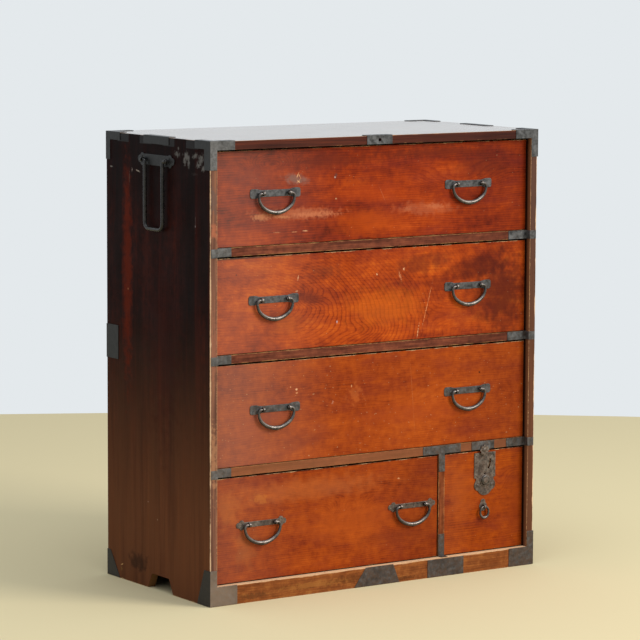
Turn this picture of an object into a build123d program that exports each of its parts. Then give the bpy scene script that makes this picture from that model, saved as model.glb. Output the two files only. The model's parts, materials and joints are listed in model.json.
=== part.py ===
"""Isho-dansu: a clothing chest with three wide drawers, a bottom drawer and a small locking safe drawer.

Millimetres. Origin on the floor under the middle of the case, +X to the right of someone facing the
drawers, +Y from the drawer fronts towards the back, +Z up.
"""

import os
from math import ceil, cos, radians, sin

from build123d import *

# ---------------------------------------------------------------- driving dimensions
# Case
CASE_WIDTH = 880.0
CASE_DEPTH = 435.0
SIDE_THICKNESS = 18.0
TOP_THICKNESS = 19.0
OPENING_HEIGHTS = (211.0, 213.0, 227.0, 236.0)  # drawer openings, from the top one down
RAIL_HEIGHT = 19.0
RAIL_DEPTH = 40.0
RAIL_SETBACK = 14.0  # rails stand back from the front edges of the case
PLINTH_HEIGHT = 43.0
PLINTH_THICKNESS = 20.0
BACK_PLINTH_THICKNESS = 18.0
BOTTOM_THICKNESS = 8.0
DUST_THICKNESS = 7.0
BACK_THICKNESS = 9.0
BACK_BOARD_COUNT = 4
BACK_LIFT = 6.0  # back boards stop short of the floor
DIVIDER_THICKNESS = 16.5
SAFE_WIDTH = 226.0  # opening to the right of the divider
EDGE_CHAMFER = 1.2

# Joinery of the case
CASE_FINGERS = 9  # along the depth, the sides owning the first and the last
HOUSING_DEPTH = 7.0  # rails, dust boards and bottom let into the sides
BOARD_TONGUE = 6.0  # dust boards and bottom let into the rail in front of them
DIVIDER_HOUSING = 3.0
BACK_REBATE = 8.0
TENON_THICKNESS = 8.0
TENON_HEIGHT = 24.0

# Foot notch cut out of the bottom edge of each side
NOTCH_FROM_FRONT = 206.0
NOTCH_TOP_WIDTH = 71.0
NOTCH_FLOOR_WIDTH = 107.0
NOTCH_HEIGHT = 34.0

# Drawers
DRAWER_SETBACK = 17.0
FRONT_THICKNESS = 18.0
FRONT_LIP = 6.0  # wood left in front of the lapped sides and bottom
DRAWER_SIDE_THICKNESS = 10.0
DRAWER_BACK_THICKNESS = 10.0
DRAWER_BOTTOM_THICKNESS = 7.0
DRAWER_BOTTOM_TONGUE = 5.0
DRAWER_FINGERS = 5
DRAWER_SIDE_GAP = 1.0
DRAWER_TOP_GAP = 4.0
DRAWER_RUN_GAP = 0.8
DRAWER_BACK_GAP = 8.0
SIDE_DROP = 3.0  # sides stand lower than the front
BACK_DROP = 6.0  # back stands lower than the sides
FRONT_CHAMFER = 0.8

# Drop handles of the drawers
HANDLE_INSETS = ((158.5, 165.5), (155.0, 164.5), (159.0, 162.5))  # from the edges of each wide opening
LOW_HANDLE_LEFT_INSET = 124.0  # bottom drawer's handles, from the edges of its opening
LOW_HANDLE_RIGHT_INSET = 73.0
HANDLE_RISE = 7.5  # pivot above the middle of the opening
PLATE_THICKNESS = 1.6
PLATE_LENGTH = 130.0
PLATE_WAIST = 15.0
SPADE_LENGTH = 19.0
SPADE_FLARE = 8.0
SPADE_HEIGHT = 20.5
SPADE_CORNER = 4.5
CLOUD_LOBE = 5.7
CLOUD_WAIST = 12.0
PIN_SPREAD = 68.0
PIVOT_STANDOFF = 7.0  # pivot in front of the drawer front
BAIL_HALF_WIDTH = 46.0
BAIL_DROP = 42.5
BAIL_CORNER = 7.5
BAIL_SHOULDER_TURN = 50.0
BAIL_END = 5.4
BAIL_MIDDLE = 9.0
BAIL_TAPER = 0.08  # share of the bar at each end before it thickens
BAIL_FULL = 0.5  # share of the bar where it is thickest
BAIL_HEAD = 7.2
BAR_FLATS = 6  # forged bars are hammered to flats all round
CLOUD_FLATS = 2 * BAR_FLATS  # and lobes are chiselled out in shorter ones
RUN_TURN = 12.0  # and bent in short straight runs, each turning by no more than this
HEAD_LENGTH = 2.4
STRIP_WIDTH = 5.0  # the iron strip folded into a split pin
STRIP_THICKNESS = 1.7
EYE_RADIUS = 5.2
EYE_FLATS = BAR_FLATS + 2  # the thinner strip is hammered round the eye in shorter flats
EYE_CLEARANCE = 0.35
LEG_REACH = 13.0
PIN_HOLE_GAP = 0.2
PIN_HOLE_OVERRUN = 1.0  # the drilled slot runs out past the back of the front

# Carrying handles on the sides
CARRY_FROM_FRONT = 219.0
CARRY_FROM_TOP = 52.0  # pivot below the top of the case
CARRY_PIN_SPREAD = 98.0
CARRY_STANDOFF = 8.0
CARRY_EYE_RADIUS = 5.4
CARRY_STRIP_WIDTH = 5.0
CARRY_STRIP_THICKNESS = 1.8
CARRY_BAR = 8.8
CARRY_END = 5.6
CARRY_TAPER = 0.03
CARRY_FULL = 0.05
CARRY_HEAD = 7.6
CARRY_HALF_WIDTH = 37.0
CARRY_DROP = 151.0
CARRY_TOP_BEND = 5.5
CARRY_CORNER = 16.0
CARRY_PLATE_THICKNESS = 2.0
CARRY_PLATE_LENGTH = 152.0
CARRY_PLATE_WAIST = 24.0
CARRY_LOBE = 8.2
CARRY_LEG_REACH = 16.0

# Sheet irons
IRON = 1.2
CORNER_FRONT_ARM = 62.0
CORNER_SIDE_ARM = 60.0
CORNER_BACK_ARM = 60.0
CORNER_TOP_WIDTH = 19.0
CORNER_SIDE_WIDTH = 17.0
CORNER_DROP = 61.5
CORNER_SIDE_DROP_WIDTH = 22.0
FOOT_IRON_LENGTH = 69.0
FOOT_IRON_RISE = 79.0
FOOT_IRON_FLOOR = 51.0
FOOT_IRON_TOP = 22.0
BACK_FOOT_FLOOR = 54.0
BACK_FOOT_RISE = 59.0
BACK_FOOT_TOP = 13.0
IRON_FLOOR_GAP = 1.0
EDGE_STRAP_LENGTH = 105.5
EDGE_STRAP_FROM_FRONT = 220.0
MID_STRAP_LOW = 498.0
MID_STRAP_HIGH = 574.0
MID_STRAP_WIDTH = 50.0
CENTRE_PLATE_WIDTH = 67.5
CENTRE_PLATE_FOLD = 20.0
CENTRE_HOLE_RADIUS = 3.8
CENTRE_HOLE_DEPTH = 12.0
LEFT_STRAP_REACH = 62.0
RIGHT_STRAP_REACH = 69.5
STILE_STRAP_WIDTH = 16.0
T_STRAP_WIDTH = 105.0
T_STRAP_DROP = 41.0
POST_STRAP_RISE = 51.5
TRAPEZOID_TOP = 74.5
TRAPEZOID_FLOOR = 122.0
TRAPEZOID_LEAN = 7.0  # its top lies to the right of the middle
POST_FOOT_PLATE_WIDTH = 100.5
POST_FOOT_PLATE_SHIFT = 2.5  # to the right of the divider
POST_FOOT_PLATE_DROP = 2.0
STRIKE_WIDTH = 64.0
STRIKE_SHIFT = -5.5  # the strike, lock and ring were each set by eye

# Lock and ring pull of the safe drawer
LOCK_WIDTH = 59.5
LOCK_SHIFT = 2.5
LOCK_HEIGHT = 99.0
LOCK_TOP_GAP = 4.0
LOCK_THICKNESS = 2.0
LOCK_NECK_WIDTH = 50.0
LOCK_SHOULDER = 58.0
LOCK_SIDE_LOBE = 13.0
LOCK_TIP_LOBE = 22.0
LOCK_LOBE_RISE = 2.0  # side lobes stand above the centre of the round tip
CAP_RADIUS = 11.7
CAP_SHIFT = -2.0
CAP_RISE = 6.5  # centre of the cap above the top of the lock plate
CAP_THICKNESS = 3.0
CAP_GAP = 0.5
KEYHOLE_SWEEP = 40.0
KEYHOLE_TURN = -20.0  # the lower end leans in towards the middle
KEYHOLE_WIDTH = 4.6
KEYHOLE_OFFSET = 14.0
KEYHOLE_FROM_TOP = 27.0
KEYHOLE_ARC = 24.0  # radius of the curve that the keyhole follows
KEYHOLE_POCKET = 6.0
KNOB_RADIUS = 11.5
KNOB_THICKNESS = 4.6
KNOB_FROM_TOP = 64.0
KNOB_GAP = 0.4
STEM_WIDTH = 6.0
STEM_HEIGHT = 8.0
BOLT_TRAVEL = 12.0
BOLT_WIDTH = 14.0
BOLT_THICKNESS = 4.0
BOLT_GAP = 0.4
LOCK_CASE_WIDTH = 46.0
LOCK_CASE_HEIGHT = 88.0
LOCK_CASE_WALL = 1.6
LOCK_CASE_TOP_GAP = 1.0
RING_RADIUS = 11.0
RING_SHIFT = -1.5
RING_BAR = 4.2
RING_FROM_TOP = 124.5  # pivot below the top of the lock plate
RING_PLATE_RADIUS = 10.0
RING_PLATE_TIP = 4.5
RING_EYE_RADIUS = 5.0
RING_STANDOFF = 6.8

# ---------------------------------------------------------------- worked-out levels and planes
CASE_HEIGHT = TOP_THICKNESS + sum(OPENING_HEIGHTS) + 3 * RAIL_HEIGHT + PLINTH_HEIGHT
LEFT = -CASE_WIDTH / 2
RIGHT = CASE_WIDTH / 2
FRONT = -CASE_DEPTH / 2
BACK = CASE_DEPTH / 2
INNER_LEFT = LEFT + SIDE_THICKNESS
INNER_RIGHT = RIGHT - SIDE_THICKNESS
TOP_UNDERSIDE = CASE_HEIGHT - TOP_THICKNESS
RAIL_FACE = FRONT + RAIL_SETBACK
RAIL_BACK = RAIL_FACE + RAIL_DEPTH
INNER_BACK = BACK - BACK_THICKNESS
DRAWER_FACE = FRONT + DRAWER_SETBACK
DRAWER_INNER_FACE = DRAWER_FACE + FRONT_THICKNESS
DRAWER_REAR = INNER_BACK - DRAWER_BACK_GAP
DIVIDER_RIGHT = INNER_RIGHT - SAFE_WIDTH
DIVIDER_LEFT = DIVIDER_RIGHT - DIVIDER_THICKNESS
DIVIDER_MIDDLE = (DIVIDER_LEFT + DIVIDER_RIGHT) / 2
SAFE_MIDDLE = (DIVIDER_RIGHT + INNER_RIGHT) / 2
STRIKE_MIDDLE = SAFE_MIDDLE + STRIKE_SHIFT
LOCK_MIDDLE = SAFE_MIDDLE + LOCK_SHIFT
CAP_MIDDLE = SAFE_MIDDLE + CAP_SHIFT
RING_MIDDLE = SAFE_MIDDLE + RING_SHIFT
BOTTOM_UNDERSIDE = PLINTH_HEIGHT - BOTTOM_THICKNESS


def opening_levels():
    """Lowest and highest level of each drawer opening, from the top one down."""
    levels = []
    high = TOP_UNDERSIDE
    for height in OPENING_HEIGHTS:
        levels.append((high - height, high))
        high -= height + RAIL_HEIGHT
    return levels


OPENINGS = opening_levels()
RAILS = [(low - RAIL_HEIGHT, low) for low, high in OPENINGS[:-1]]
LOW_RAIL_UNDERSIDE = RAILS[-1][0]
SAFE_FRONT_TOP = LOW_RAIL_UNDERSIDE - DRAWER_TOP_GAP
LOCK_TOP = SAFE_FRONT_TOP - LOCK_TOP_GAP
LOCK_FACE = DRAWER_FACE - LOCK_THICKNESS
KNOB_HEIGHT = LOCK_TOP - KNOB_FROM_TOP
RING_PIVOT_HEIGHT = LOCK_TOP - RING_FROM_TOP
LOCK_CASE_TOP = SAFE_FRONT_TOP - LOCK_CASE_TOP_GAP
CARRY_HEIGHT = CASE_HEIGHT - CARRY_FROM_TOP


# ---------------------------------------------------------------- shared operations
def board(x_low, x_high, y_low, y_high, z_low, z_high):
    """A squared board between six faces."""
    size = (x_high - x_low, y_high - y_low, z_high - z_low)
    return Pos(x_low, y_low, z_low) * Box(*size, align=Align.MIN)


def front_plate(outline, face, thickness):
    """A sheet cut to an outline in (x, z), standing on a face that looks to the front."""
    plane = Plane(origin=(0, face, 0), x_dir=(1, 0, 0), z_dir=(0, -1, 0))
    return extrude(plane * outline, thickness)


def left_plate(outline, thickness):
    """A sheet cut to an outline in (-y, z), standing on the outer face of the left side."""
    plane = Plane(origin=(LEFT, 0, 0), x_dir=(0, -1, 0), z_dir=(-1, 0, 0))
    return extrude(plane * outline, thickness)


def top_plate(outline, thickness):
    """A sheet cut to an outline in (x, y), lying on the top board."""
    return extrude(Plane.XY.offset(CASE_HEIGHT) * outline, thickness)


def rectangle(u_low, u_high, v_low, v_high):
    """A rectangle between two pairs of limits of its plane."""
    return Pos(u_low, v_low) * Rectangle(u_high - u_low, v_high - v_low, align=Align.MIN)


def polygon(*points):
    """A straight-sided outline through its corners."""
    return Polygon(*points, align=None)


def finger_spans(count, low, high, first):
    """Every second finger of a joint that divides a length into equal fingers."""
    step = (high - low) / count
    return [(low + i * step, low + (i + 1) * step) for i in range(first, count, 2)]


def both_sides(shape):
    """A left-hand piece and its mirror image on the right."""
    return [shape, mirror(shape, Plane.YZ)]


def write(name, *shapes):
    """One STEP file for a node, from one or more separate solids."""
    solids = [solid for shape in shapes for solid in shape.solids()]
    whole = solids[0] if len(solids) == 1 else Compound(children=solids)
    export_step(whole, f"parts/{name}.step")


# ---------------------------------------------------------------- case woodwork
def back_recess():
    """Space that the back boards fill, rebated into the sides and the top."""
    reach = SIDE_THICKNESS - BACK_REBATE
    return board(LEFT + reach, RIGHT - reach, INNER_BACK, BACK, 0, TOP_UNDERSIDE + BACK_REBATE)


def plinth_rail(y_low, y_high, height):
    """A rail across the bottom of the case with a stub tenon at each end."""
    rail = board(INNER_LEFT, INNER_RIGHT, y_low, y_high, 0, height)
    middle_y = (y_low + y_high) / 2
    half = TENON_THICKNESS / 2
    z_low = (height - TENON_HEIGHT) / 2
    tenon = board(
        INNER_LEFT - HOUSING_DEPTH,
        INNER_RIGHT + HOUSING_DEPTH,
        middle_y - half,
        middle_y + half,
        z_low,
        z_low + TENON_HEIGHT,
    )
    return rail + tenon


def front_rail(low, high):
    """A rail between two drawers, let into both sides."""
    return board(
        INNER_LEFT - HOUSING_DEPTH, INNER_RIGHT + HOUSING_DEPTH, RAIL_FACE, RAIL_BACK, low, high
    )


def dust_board(level):
    """The thin board behind a rail that carries the drawer above."""
    return board(
        INNER_LEFT - HOUSING_DEPTH,
        INNER_RIGHT + HOUSING_DEPTH,
        RAIL_BACK - BOARD_TONGUE,
        INNER_BACK,
        level - DUST_THICKNESS,
        level,
    )


def divider_panel():
    """The upright between the bottom drawer and the safe drawer, notched under the lowest rail."""
    panel = board(
        DIVIDER_LEFT,
        DIVIDER_RIGHT,
        RAIL_FACE,
        INNER_BACK,
        PLINTH_HEIGHT - DIVIDER_HOUSING,
        RAILS[-1][1] - DUST_THICKNESS,
    )
    under_rail = board(
        DIVIDER_LEFT,
        DIVIDER_RIGHT,
        RAIL_FACE,
        RAIL_BACK,
        LOW_RAIL_UNDERSIDE + DIVIDER_HOUSING,
        RAILS[-1][1],
    )
    return panel - under_rail


def bottom_board():
    """The board under the lowest drawers, let into the sides and the plinth."""
    return board(
        INNER_LEFT - HOUSING_DEPTH,
        INNER_RIGHT + HOUSING_DEPTH,
        FRONT + PLINTH_THICKNESS - BOARD_TONGUE,
        INNER_BACK,
        BOTTOM_UNDERSIDE,
        PLINTH_HEIGHT,
    )


def top_board():
    """The top, with the fingers that pass through the sides."""
    top = board(LEFT, RIGHT, FRONT, BACK, TOP_UNDERSIDE, CASE_HEIGHT)
    for y_low, y_high in finger_spans(CASE_FINGERS, FRONT, BACK, 0):
        for x_low, x_high in ((LEFT, INNER_LEFT), (INNER_RIGHT, RIGHT)):
            top -= board(x_low, x_high, y_low, y_high, TOP_UNDERSIDE, CASE_HEIGHT)
    return top


def centre_hole():
    """The round hole through the middle plate into the front edge of the top."""
    middle = (TOP_UNDERSIDE + CASE_HEIGHT) / 2
    plane = Plane(origin=(0, FRONT - IRON, middle), x_dir=(1, 0, 0), z_dir=(0, 1, 0))
    return extrude(plane * Circle(CENTRE_HOLE_RADIUS), CENTRE_HOLE_DEPTH + IRON)


def foot_notch():
    """The trapezoid cut out of the bottom edge of a side."""
    middle = -(FRONT + NOTCH_FROM_FRONT)
    top = NOTCH_TOP_WIDTH / 2
    floor = NOTCH_FLOOR_WIDTH / 2
    outline = polygon(
        (middle - floor, 0), (middle + floor, 0), (middle + top, NOTCH_HEIGHT), (middle - top, NOTCH_HEIGHT)
    )
    return left_plate(outline, -SIDE_THICKNESS)


def case_woodwork():
    """Every board of the case, by node name."""
    front_plinth = plinth_rail(FRONT, FRONT + PLINTH_THICKNESS, PLINTH_HEIGHT)
    back_plinth = plinth_rail(INNER_BACK - BACK_PLINTH_THICKNESS, INNER_BACK, BOTTOM_UNDERSIDE)
    bottom = bottom_board()
    divider = divider_panel()
    dust_boards = [dust_board(high) for low, high in RAILS]
    rails = [front_rail(low, high) for low, high in RAILS]
    rails = [rail - shelf for rail, shelf in zip(rails, dust_boards)]
    rails[-1] = rails[-1] - divider - bolt_mortise()
    back = back_recess()
    top = top_board()

    side = board(LEFT, INNER_LEFT, FRONT, BACK, 0, CASE_HEIGHT)
    outer_front_edge = side.edges().filter_by(Axis.Z).group_by(Axis.Y)[0].sort_by(Axis.X)[0]
    side = chamfer(outer_front_edge, EDGE_CHAMFER)
    side = side - foot_notch() - top - back
    for piece in [front_plinth, back_plinth, bottom, *dust_boards, *rails]:
        side = side - piece

    return {
        "left_side_panel": [side],
        "right_side_panel": [mirror(side, Plane.YZ)],
        "top_board": [top - back - centre_hole()],
        "bottom_board": [bottom - divider],
        "back_boards": back_boards(),
        "front_plinth_rail": [front_plinth - bottom - divider],
        "back_plinth_rail": [back_plinth],
        "drawer_rails": rails,
        "dust_boards": dust_boards,
        "divider_panel": [divider],
    }


def back_boards():
    """Upright back boards with half-lapped edges."""
    low = LEFT + SIDE_THICKNESS - BACK_REBATE
    width = -2 * low / BACK_BOARD_COUNT
    lap_face = INNER_BACK + BACK_THICKNESS / 2
    boards = []
    for i in range(BACK_BOARD_COUNT):
        x_low = low + i * width
        plank = board(x_low, x_low + width, INNER_BACK, BACK, BACK_LIFT, TOP_UNDERSIDE + BACK_REBATE)
        if boards:
            plank -= board(x_low, x_low + BACK_REBATE, INNER_BACK, lap_face, 0, CASE_HEIGHT)
        if i < BACK_BOARD_COUNT - 1:
            end = x_low + width
            plank += board(
                end, end + BACK_REBATE, INNER_BACK, lap_face, BACK_LIFT, TOP_UNDERSIDE + BACK_REBATE
            )
        boards.append(plank)
    return boards


# ---------------------------------------------------------------- sheet irons
def edge_span(low, high):
    """Limits along the depth, turned into the left plate's own direction."""
    return -high, -low


def ell(corner_u, corner_v, arm_u, arm_v, width_u, width_v):
    """An L in a plane: one arm along u, one along v, from a shared corner. Signs give directions."""
    along_u = rectangle(*sorted((corner_u, corner_u + arm_u)), *sorted((corner_v, corner_v + width_v)))
    along_v = rectangle(*sorted((corner_u, corner_u + width_u)), *sorted((corner_v, corner_v + arm_v)))
    return along_u + along_v


def top_front_iron():
    """Three-faced iron on the top front left corner."""
    high = CASE_HEIGHT + IRON
    drop = -(CORNER_DROP + IRON)
    wide = CORNER_TOP_WIDTH + IRON
    side_width = CORNER_SIDE_WIDTH + IRON
    front_arm = CORNER_FRONT_ARM + IRON
    side_arm = CORNER_SIDE_ARM + IRON
    front = ell(LEFT - IRON, high, front_arm, drop, side_width, -wide)
    side = ell(-(FRONT - IRON), high, -side_arm, drop, -(CORNER_SIDE_DROP_WIDTH + IRON), -side_width)
    top = ell(LEFT - IRON, FRONT - IRON, front_arm, side_arm, side_width, side_width)
    return front_plate(front, FRONT, IRON) + left_plate(side, IRON) + top_plate(top, IRON)


def top_back_iron():
    """Three-faced iron on the top back left corner."""
    high = CASE_HEIGHT + IRON
    drop = -(CORNER_DROP + IRON)
    arm = CORNER_BACK_ARM + IRON
    width = CORNER_SIDE_WIDTH + IRON
    back = mirror(front_plate(ell(LEFT - IRON, high, arm, drop, width, -width), FRONT, IRON), Plane.XZ)
    side = ell(-(BACK + IRON), high, arm, drop, width, -width)
    top = ell(LEFT - IRON, BACK + IRON, arm, -arm, width, -width)
    return back + left_plate(side, IRON) + top_plate(top, IRON)


def front_foot_iron():
    """Two-faced iron on the front left foot."""
    base = ell(
        LEFT - IRON,
        IRON_FLOOR_GAP,
        FOOT_IRON_LENGTH + IRON,
        FOOT_IRON_RISE - IRON_FLOOR_GAP,
        CORNER_SIDE_WIDTH + IRON,
        PLINTH_HEIGHT - IRON_FLOOR_GAP,
    )
    edge = -(FRONT - IRON)
    side = polygon(
        (edge, IRON_FLOOR_GAP),
        (edge, FOOT_IRON_RISE),
        (-(FRONT + FOOT_IRON_TOP), FOOT_IRON_RISE),
        (-(FRONT + FOOT_IRON_FLOOR), IRON_FLOOR_GAP),
    )
    return front_plate(base, FRONT, IRON) + left_plate(side, IRON)


def back_foot_iron():
    """Two-faced iron on the back left foot, with a sloping edge on both faces."""
    edge = BACK + IRON
    slope = [(BACK_FOOT_FLOOR, IRON_FLOOR_GAP), (BACK_FOOT_TOP, BACK_FOOT_RISE)]
    side = polygon(
        (-edge, IRON_FLOOR_GAP),
        *[(-(BACK - reach), height) for reach, height in slope],
        (-edge, BACK_FOOT_RISE),
    )
    back = polygon(
        (LEFT - IRON, IRON_FLOOR_GAP),
        *[(LEFT + reach, height) for reach, height in slope],
        (LEFT - IRON, BACK_FOOT_RISE),
    )
    return left_plate(side, IRON) + mirror(front_plate(back, FRONT, IRON), Plane.XZ)


def side_edge_strap():
    """Strap folded over the middle of the top edge of the left side."""
    y_low = FRONT + EDGE_STRAP_FROM_FRONT - EDGE_STRAP_LENGTH / 2
    y_high = y_low + EDGE_STRAP_LENGTH
    side = rectangle(*edge_span(y_low, y_high), CASE_HEIGHT - CORNER_SIDE_WIDTH, CASE_HEIGHT + IRON)
    top = rectangle(LEFT - IRON, LEFT + CORNER_SIDE_WIDTH, y_low, y_high)
    return left_plate(side, IRON) + top_plate(top, IRON)


def back_edge_strap():
    """Strap folded round the back edge of the left side at half height."""
    side = rectangle(*edge_span(BACK - MID_STRAP_WIDTH, BACK + IRON), MID_STRAP_LOW, MID_STRAP_HIGH)
    back = rectangle(LEFT - IRON, LEFT + CORNER_SIDE_WIDTH, MID_STRAP_LOW, MID_STRAP_HIGH)
    return left_plate(side, IRON) + mirror(front_plate(back, FRONT, IRON), Plane.XZ)


def centre_plate():
    """Plate folded over the front edge of the top, with a round hole."""
    half = CENTRE_PLATE_WIDTH / 2
    front = front_plate(rectangle(-half, half, TOP_UNDERSIDE, CASE_HEIGHT + IRON), FRONT, IRON)
    top = top_plate(rectangle(-half, half, FRONT - IRON, FRONT + CENTRE_PLATE_FOLD), IRON)
    return front + top - centre_hole()


def plinth_plates():
    """The splayed plate in the middle of the plinth and the plate under the divider."""
    floor = TRAPEZOID_FLOOR / 2
    top = TRAPEZOID_TOP / 2
    splayed = polygon(
        (-floor, IRON_FLOOR_GAP),
        (floor, IRON_FLOOR_GAP),
        (TRAPEZOID_LEAN + top, PLINTH_HEIGHT),
        (TRAPEZOID_LEAN - top, PLINTH_HEIGHT),
    )
    middle = DIVIDER_MIDDLE + POST_FOOT_PLATE_SHIFT
    half = POST_FOOT_PLATE_WIDTH / 2
    square = rectangle(
        middle - half,
        middle + half,
        IRON_FLOOR_GAP,
        PLINTH_HEIGHT - POST_FOOT_PLATE_DROP,
    )
    return [front_plate(splayed, FRONT, IRON), front_plate(square, FRONT, IRON)]


def rail_end_strap(low, high, reach):
    """Strap from the left end of a rail over the side's inner face onto its front edge."""
    on_rail = rectangle(INNER_LEFT, LEFT + reach, low, high)
    on_edge = rectangle(INNER_LEFT - STILE_STRAP_WIDTH, INNER_LEFT + IRON, low, high)
    inner = board(INNER_LEFT, INNER_LEFT + IRON, FRONT, RAIL_FACE, low, high)
    return front_plate(on_rail, RAIL_FACE, IRON) + inner + front_plate(on_edge, FRONT, IRON)


def tee_strap():
    """T-shaped strap tying the lowest rail to the divider."""
    low, high = RAILS[-1]
    half = T_STRAP_WIDTH / 2
    bar = rectangle(DIVIDER_MIDDLE - half, DIVIDER_MIDDLE + half, low, high)
    stem = rectangle(DIVIDER_LEFT, DIVIDER_RIGHT, low - T_STRAP_DROP, high)
    return front_plate(bar + stem, RAIL_FACE, IRON)


def post_strap():
    """Angle strap at the foot of the divider, turned out over the plinth."""
    rise = rectangle(DIVIDER_LEFT, DIVIDER_RIGHT, PLINTH_HEIGHT, PLINTH_HEIGHT + POST_STRAP_RISE)
    tab = board(DIVIDER_LEFT, DIVIDER_RIGHT, FRONT, RAIL_FACE, PLINTH_HEIGHT, PLINTH_HEIGHT + IRON)
    return front_plate(rise, RAIL_FACE, IRON) + tab


def strike_plate():
    """Plate on the lowest rail above the lock."""
    low, high = RAILS[-1]
    half = STRIKE_WIDTH / 2
    return front_plate(rectangle(STRIKE_MIDDLE - half, STRIKE_MIDDLE + half, low, high), RAIL_FACE, IRON)


def rail_straps():
    """Every strap on the rails and the divider."""
    straps = [tee_strap(), post_strap(), strike_plate()]
    for low, high in RAILS:
        straps.append(rail_end_strap(low, high, LEFT_STRAP_REACH))
        straps.append(mirror(rail_end_strap(low, high, RIGHT_STRAP_REACH), Plane.YZ))
    return straps


# ---------------------------------------------------------------- handles
def split_pin(eye_radius, bore_radius, strip_width, strip_thickness, reach, leg):
    """A strip folded in two: an eye about X at the origin, a shank along +Y, two clenched legs.

    The eye is round inside where the bar pulls on it, and keeps its flats behind.
    """
    half = strip_width / 2
    eye = extrude(Plane.YZ * RegularPolygon(eye_radius, EYE_FLATS, major_radius=False), half, both=True)
    shank = board(-half, half, 0, reach, -strip_thickness, strip_thickness)
    legs = board(-half, half, reach, reach + strip_thickness, -leg, leg)
    front = rectangle(-bore_radius, 0, -bore_radius, bore_radius)
    behind = rectangle(0, bore_radius, -bore_radius, bore_radius)
    outline = Circle(bore_radius) & front
    outline += RegularPolygon(bore_radius, EYE_FLATS, major_radius=False) & behind
    bore = extrude(Plane.YZ * outline, strip_width, both=True)
    return eye + shank + legs - bore


def shank_hole(strip_width, strip_thickness, reach):
    """The slot that a split pin's shank passes through, with its clearance."""
    half = strip_width / 2 + PIN_HOLE_GAP
    thick = strip_thickness + PIN_HOLE_GAP
    return board(-half, half, 0, reach, -thick, thick)


def forged_section(size):
    """Section of a forged bar, by its width over the hammered flats."""
    return RegularPolygon(size / 2, BAR_FLATS, major_radius=False, rotation=180 / BAR_FLATS)


def corner_radius(size):
    """Radius of the circle through the corners of a forged section."""
    return size / 2 / cos(radians(180 / BAR_FLATS))


def run_ends(edges):
    """Points and directions along a chain of lines and arcs, an arc divided into short straight runs."""
    ends = []
    for edge in edges:
        runs = 1
        if edge.geom_type == GeomType.CIRCLE:
            runs = ceil(edge.length / edge.radius / radians(RUN_TURN))
        ends += [(edge @ (i / runs), edge % (i / runs)) for i in range(runs)]
    return ends + [(edges[-1] @ 1, edges[-1] % 1)]


def forged_bar(edges, end_size, middle_size, head_size, thin_share, full_share):
    """A bar along a chain of lines and arcs in XZ, thickening between two shares of it, with upset ends."""
    ends = run_ends(edges)
    reached = [0.0]
    for (start, _), (end, _) in zip(ends, ends[1:]):
        reached.append(reached[-1] + (end - start).length)
    planes = [Plane(origin=point, x_dir=(0, 1, 0), z_dir=direction) for point, direction in ends]
    sections = []
    for plane, distance in zip(planes, reached):
        share = min(distance, reached[-1] - distance) / reached[-1]
        thickening = min(1.0, max(0.0, share - thin_share) / (full_share - thin_share))
        sections.append(plane * forged_section(end_size + (middle_size - end_size) * thickening))
    bar = loft(sections, ruled=True)
    for plane, inward in ((planes[0], 1), (planes[-1], -1)):
        bar += extrude(plane * forged_section(head_size), inward * HEAD_LENGTH)
    return bar


def bail_path():
    """Centre line of a drawer bail: inward ends, tight corners, then an oval of three arcs."""
    fall = BAIL_DROP - BAIL_CORNER
    c = cos(radians(BAIL_SHOULDER_TURN))
    s = sin(radians(BAIL_SHOULDER_TURN))
    determinant = (1 - c) * (1 - s) - c * s
    shoulder = (BAIL_HALF_WIDTH * (1 - s) - c * fall) / determinant
    belly = ((1 - c) * fall - s * BAIL_HALF_WIDTH) / determinant
    tip = PIN_SPREAD / 2 - STRIP_WIDTH / 2 - EYE_CLEARANCE - HEAD_LENGTH
    start = Line((-tip, 0), (-(BAIL_HALF_WIDTH - BAIL_CORNER), 0))
    parts = [start]
    turns = (
        (BAIL_CORNER, 90),
        (shoulder, BAIL_SHOULDER_TURN),
        (belly, 2 * (90 - BAIL_SHOULDER_TURN)),
        (shoulder, BAIL_SHOULDER_TURN),
        (BAIL_CORNER, 90),
    )
    for radius, turn in turns:
        last = parts[-1]
        parts.append(JernArc(last @ 1, last % 1, radius, turn))
    parts.append(Line(parts[-1] @ 1, (tip, 0)))
    return [Plane.XZ * part.edge() for part in parts]


def drawer_bail():
    """A drop handle about X through the origin, hanging down."""
    return forged_bar(bail_path(), BAIL_END, BAIL_MIDDLE, BAIL_HEAD, BAIL_TAPER, BAIL_FULL)


def carry_path():
    """Centre line of a carrying handle: outward ends, two long legs and a squared bottom."""
    tip = CARRY_PIN_SPREAD / 2 + CARRY_STRIP_WIDTH / 2 + EYE_CLEARANCE + HEAD_LENGTH
    corners = [
        (-tip, 0),
        (-CARRY_HALF_WIDTH, 0),
        (-CARRY_HALF_WIDTH, -CARRY_DROP),
        (CARRY_HALF_WIDTH, -CARRY_DROP),
        (CARRY_HALF_WIDTH, 0),
        (tip, 0),
    ]
    bends = [CARRY_TOP_BEND, CARRY_CORNER, CARRY_CORNER, CARRY_TOP_BEND]
    return [Plane.XZ * edge for edge in Wire(FilletPolyline(*corners, radius=bends).edges()).order_edges()]


def carry_bail():
    """A carrying handle about X through the origin, hanging down."""
    return forged_bar(carry_path(), CARRY_END, CARRY_BAR, CARRY_HEAD, CARRY_TAPER, CARRY_FULL)


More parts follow.
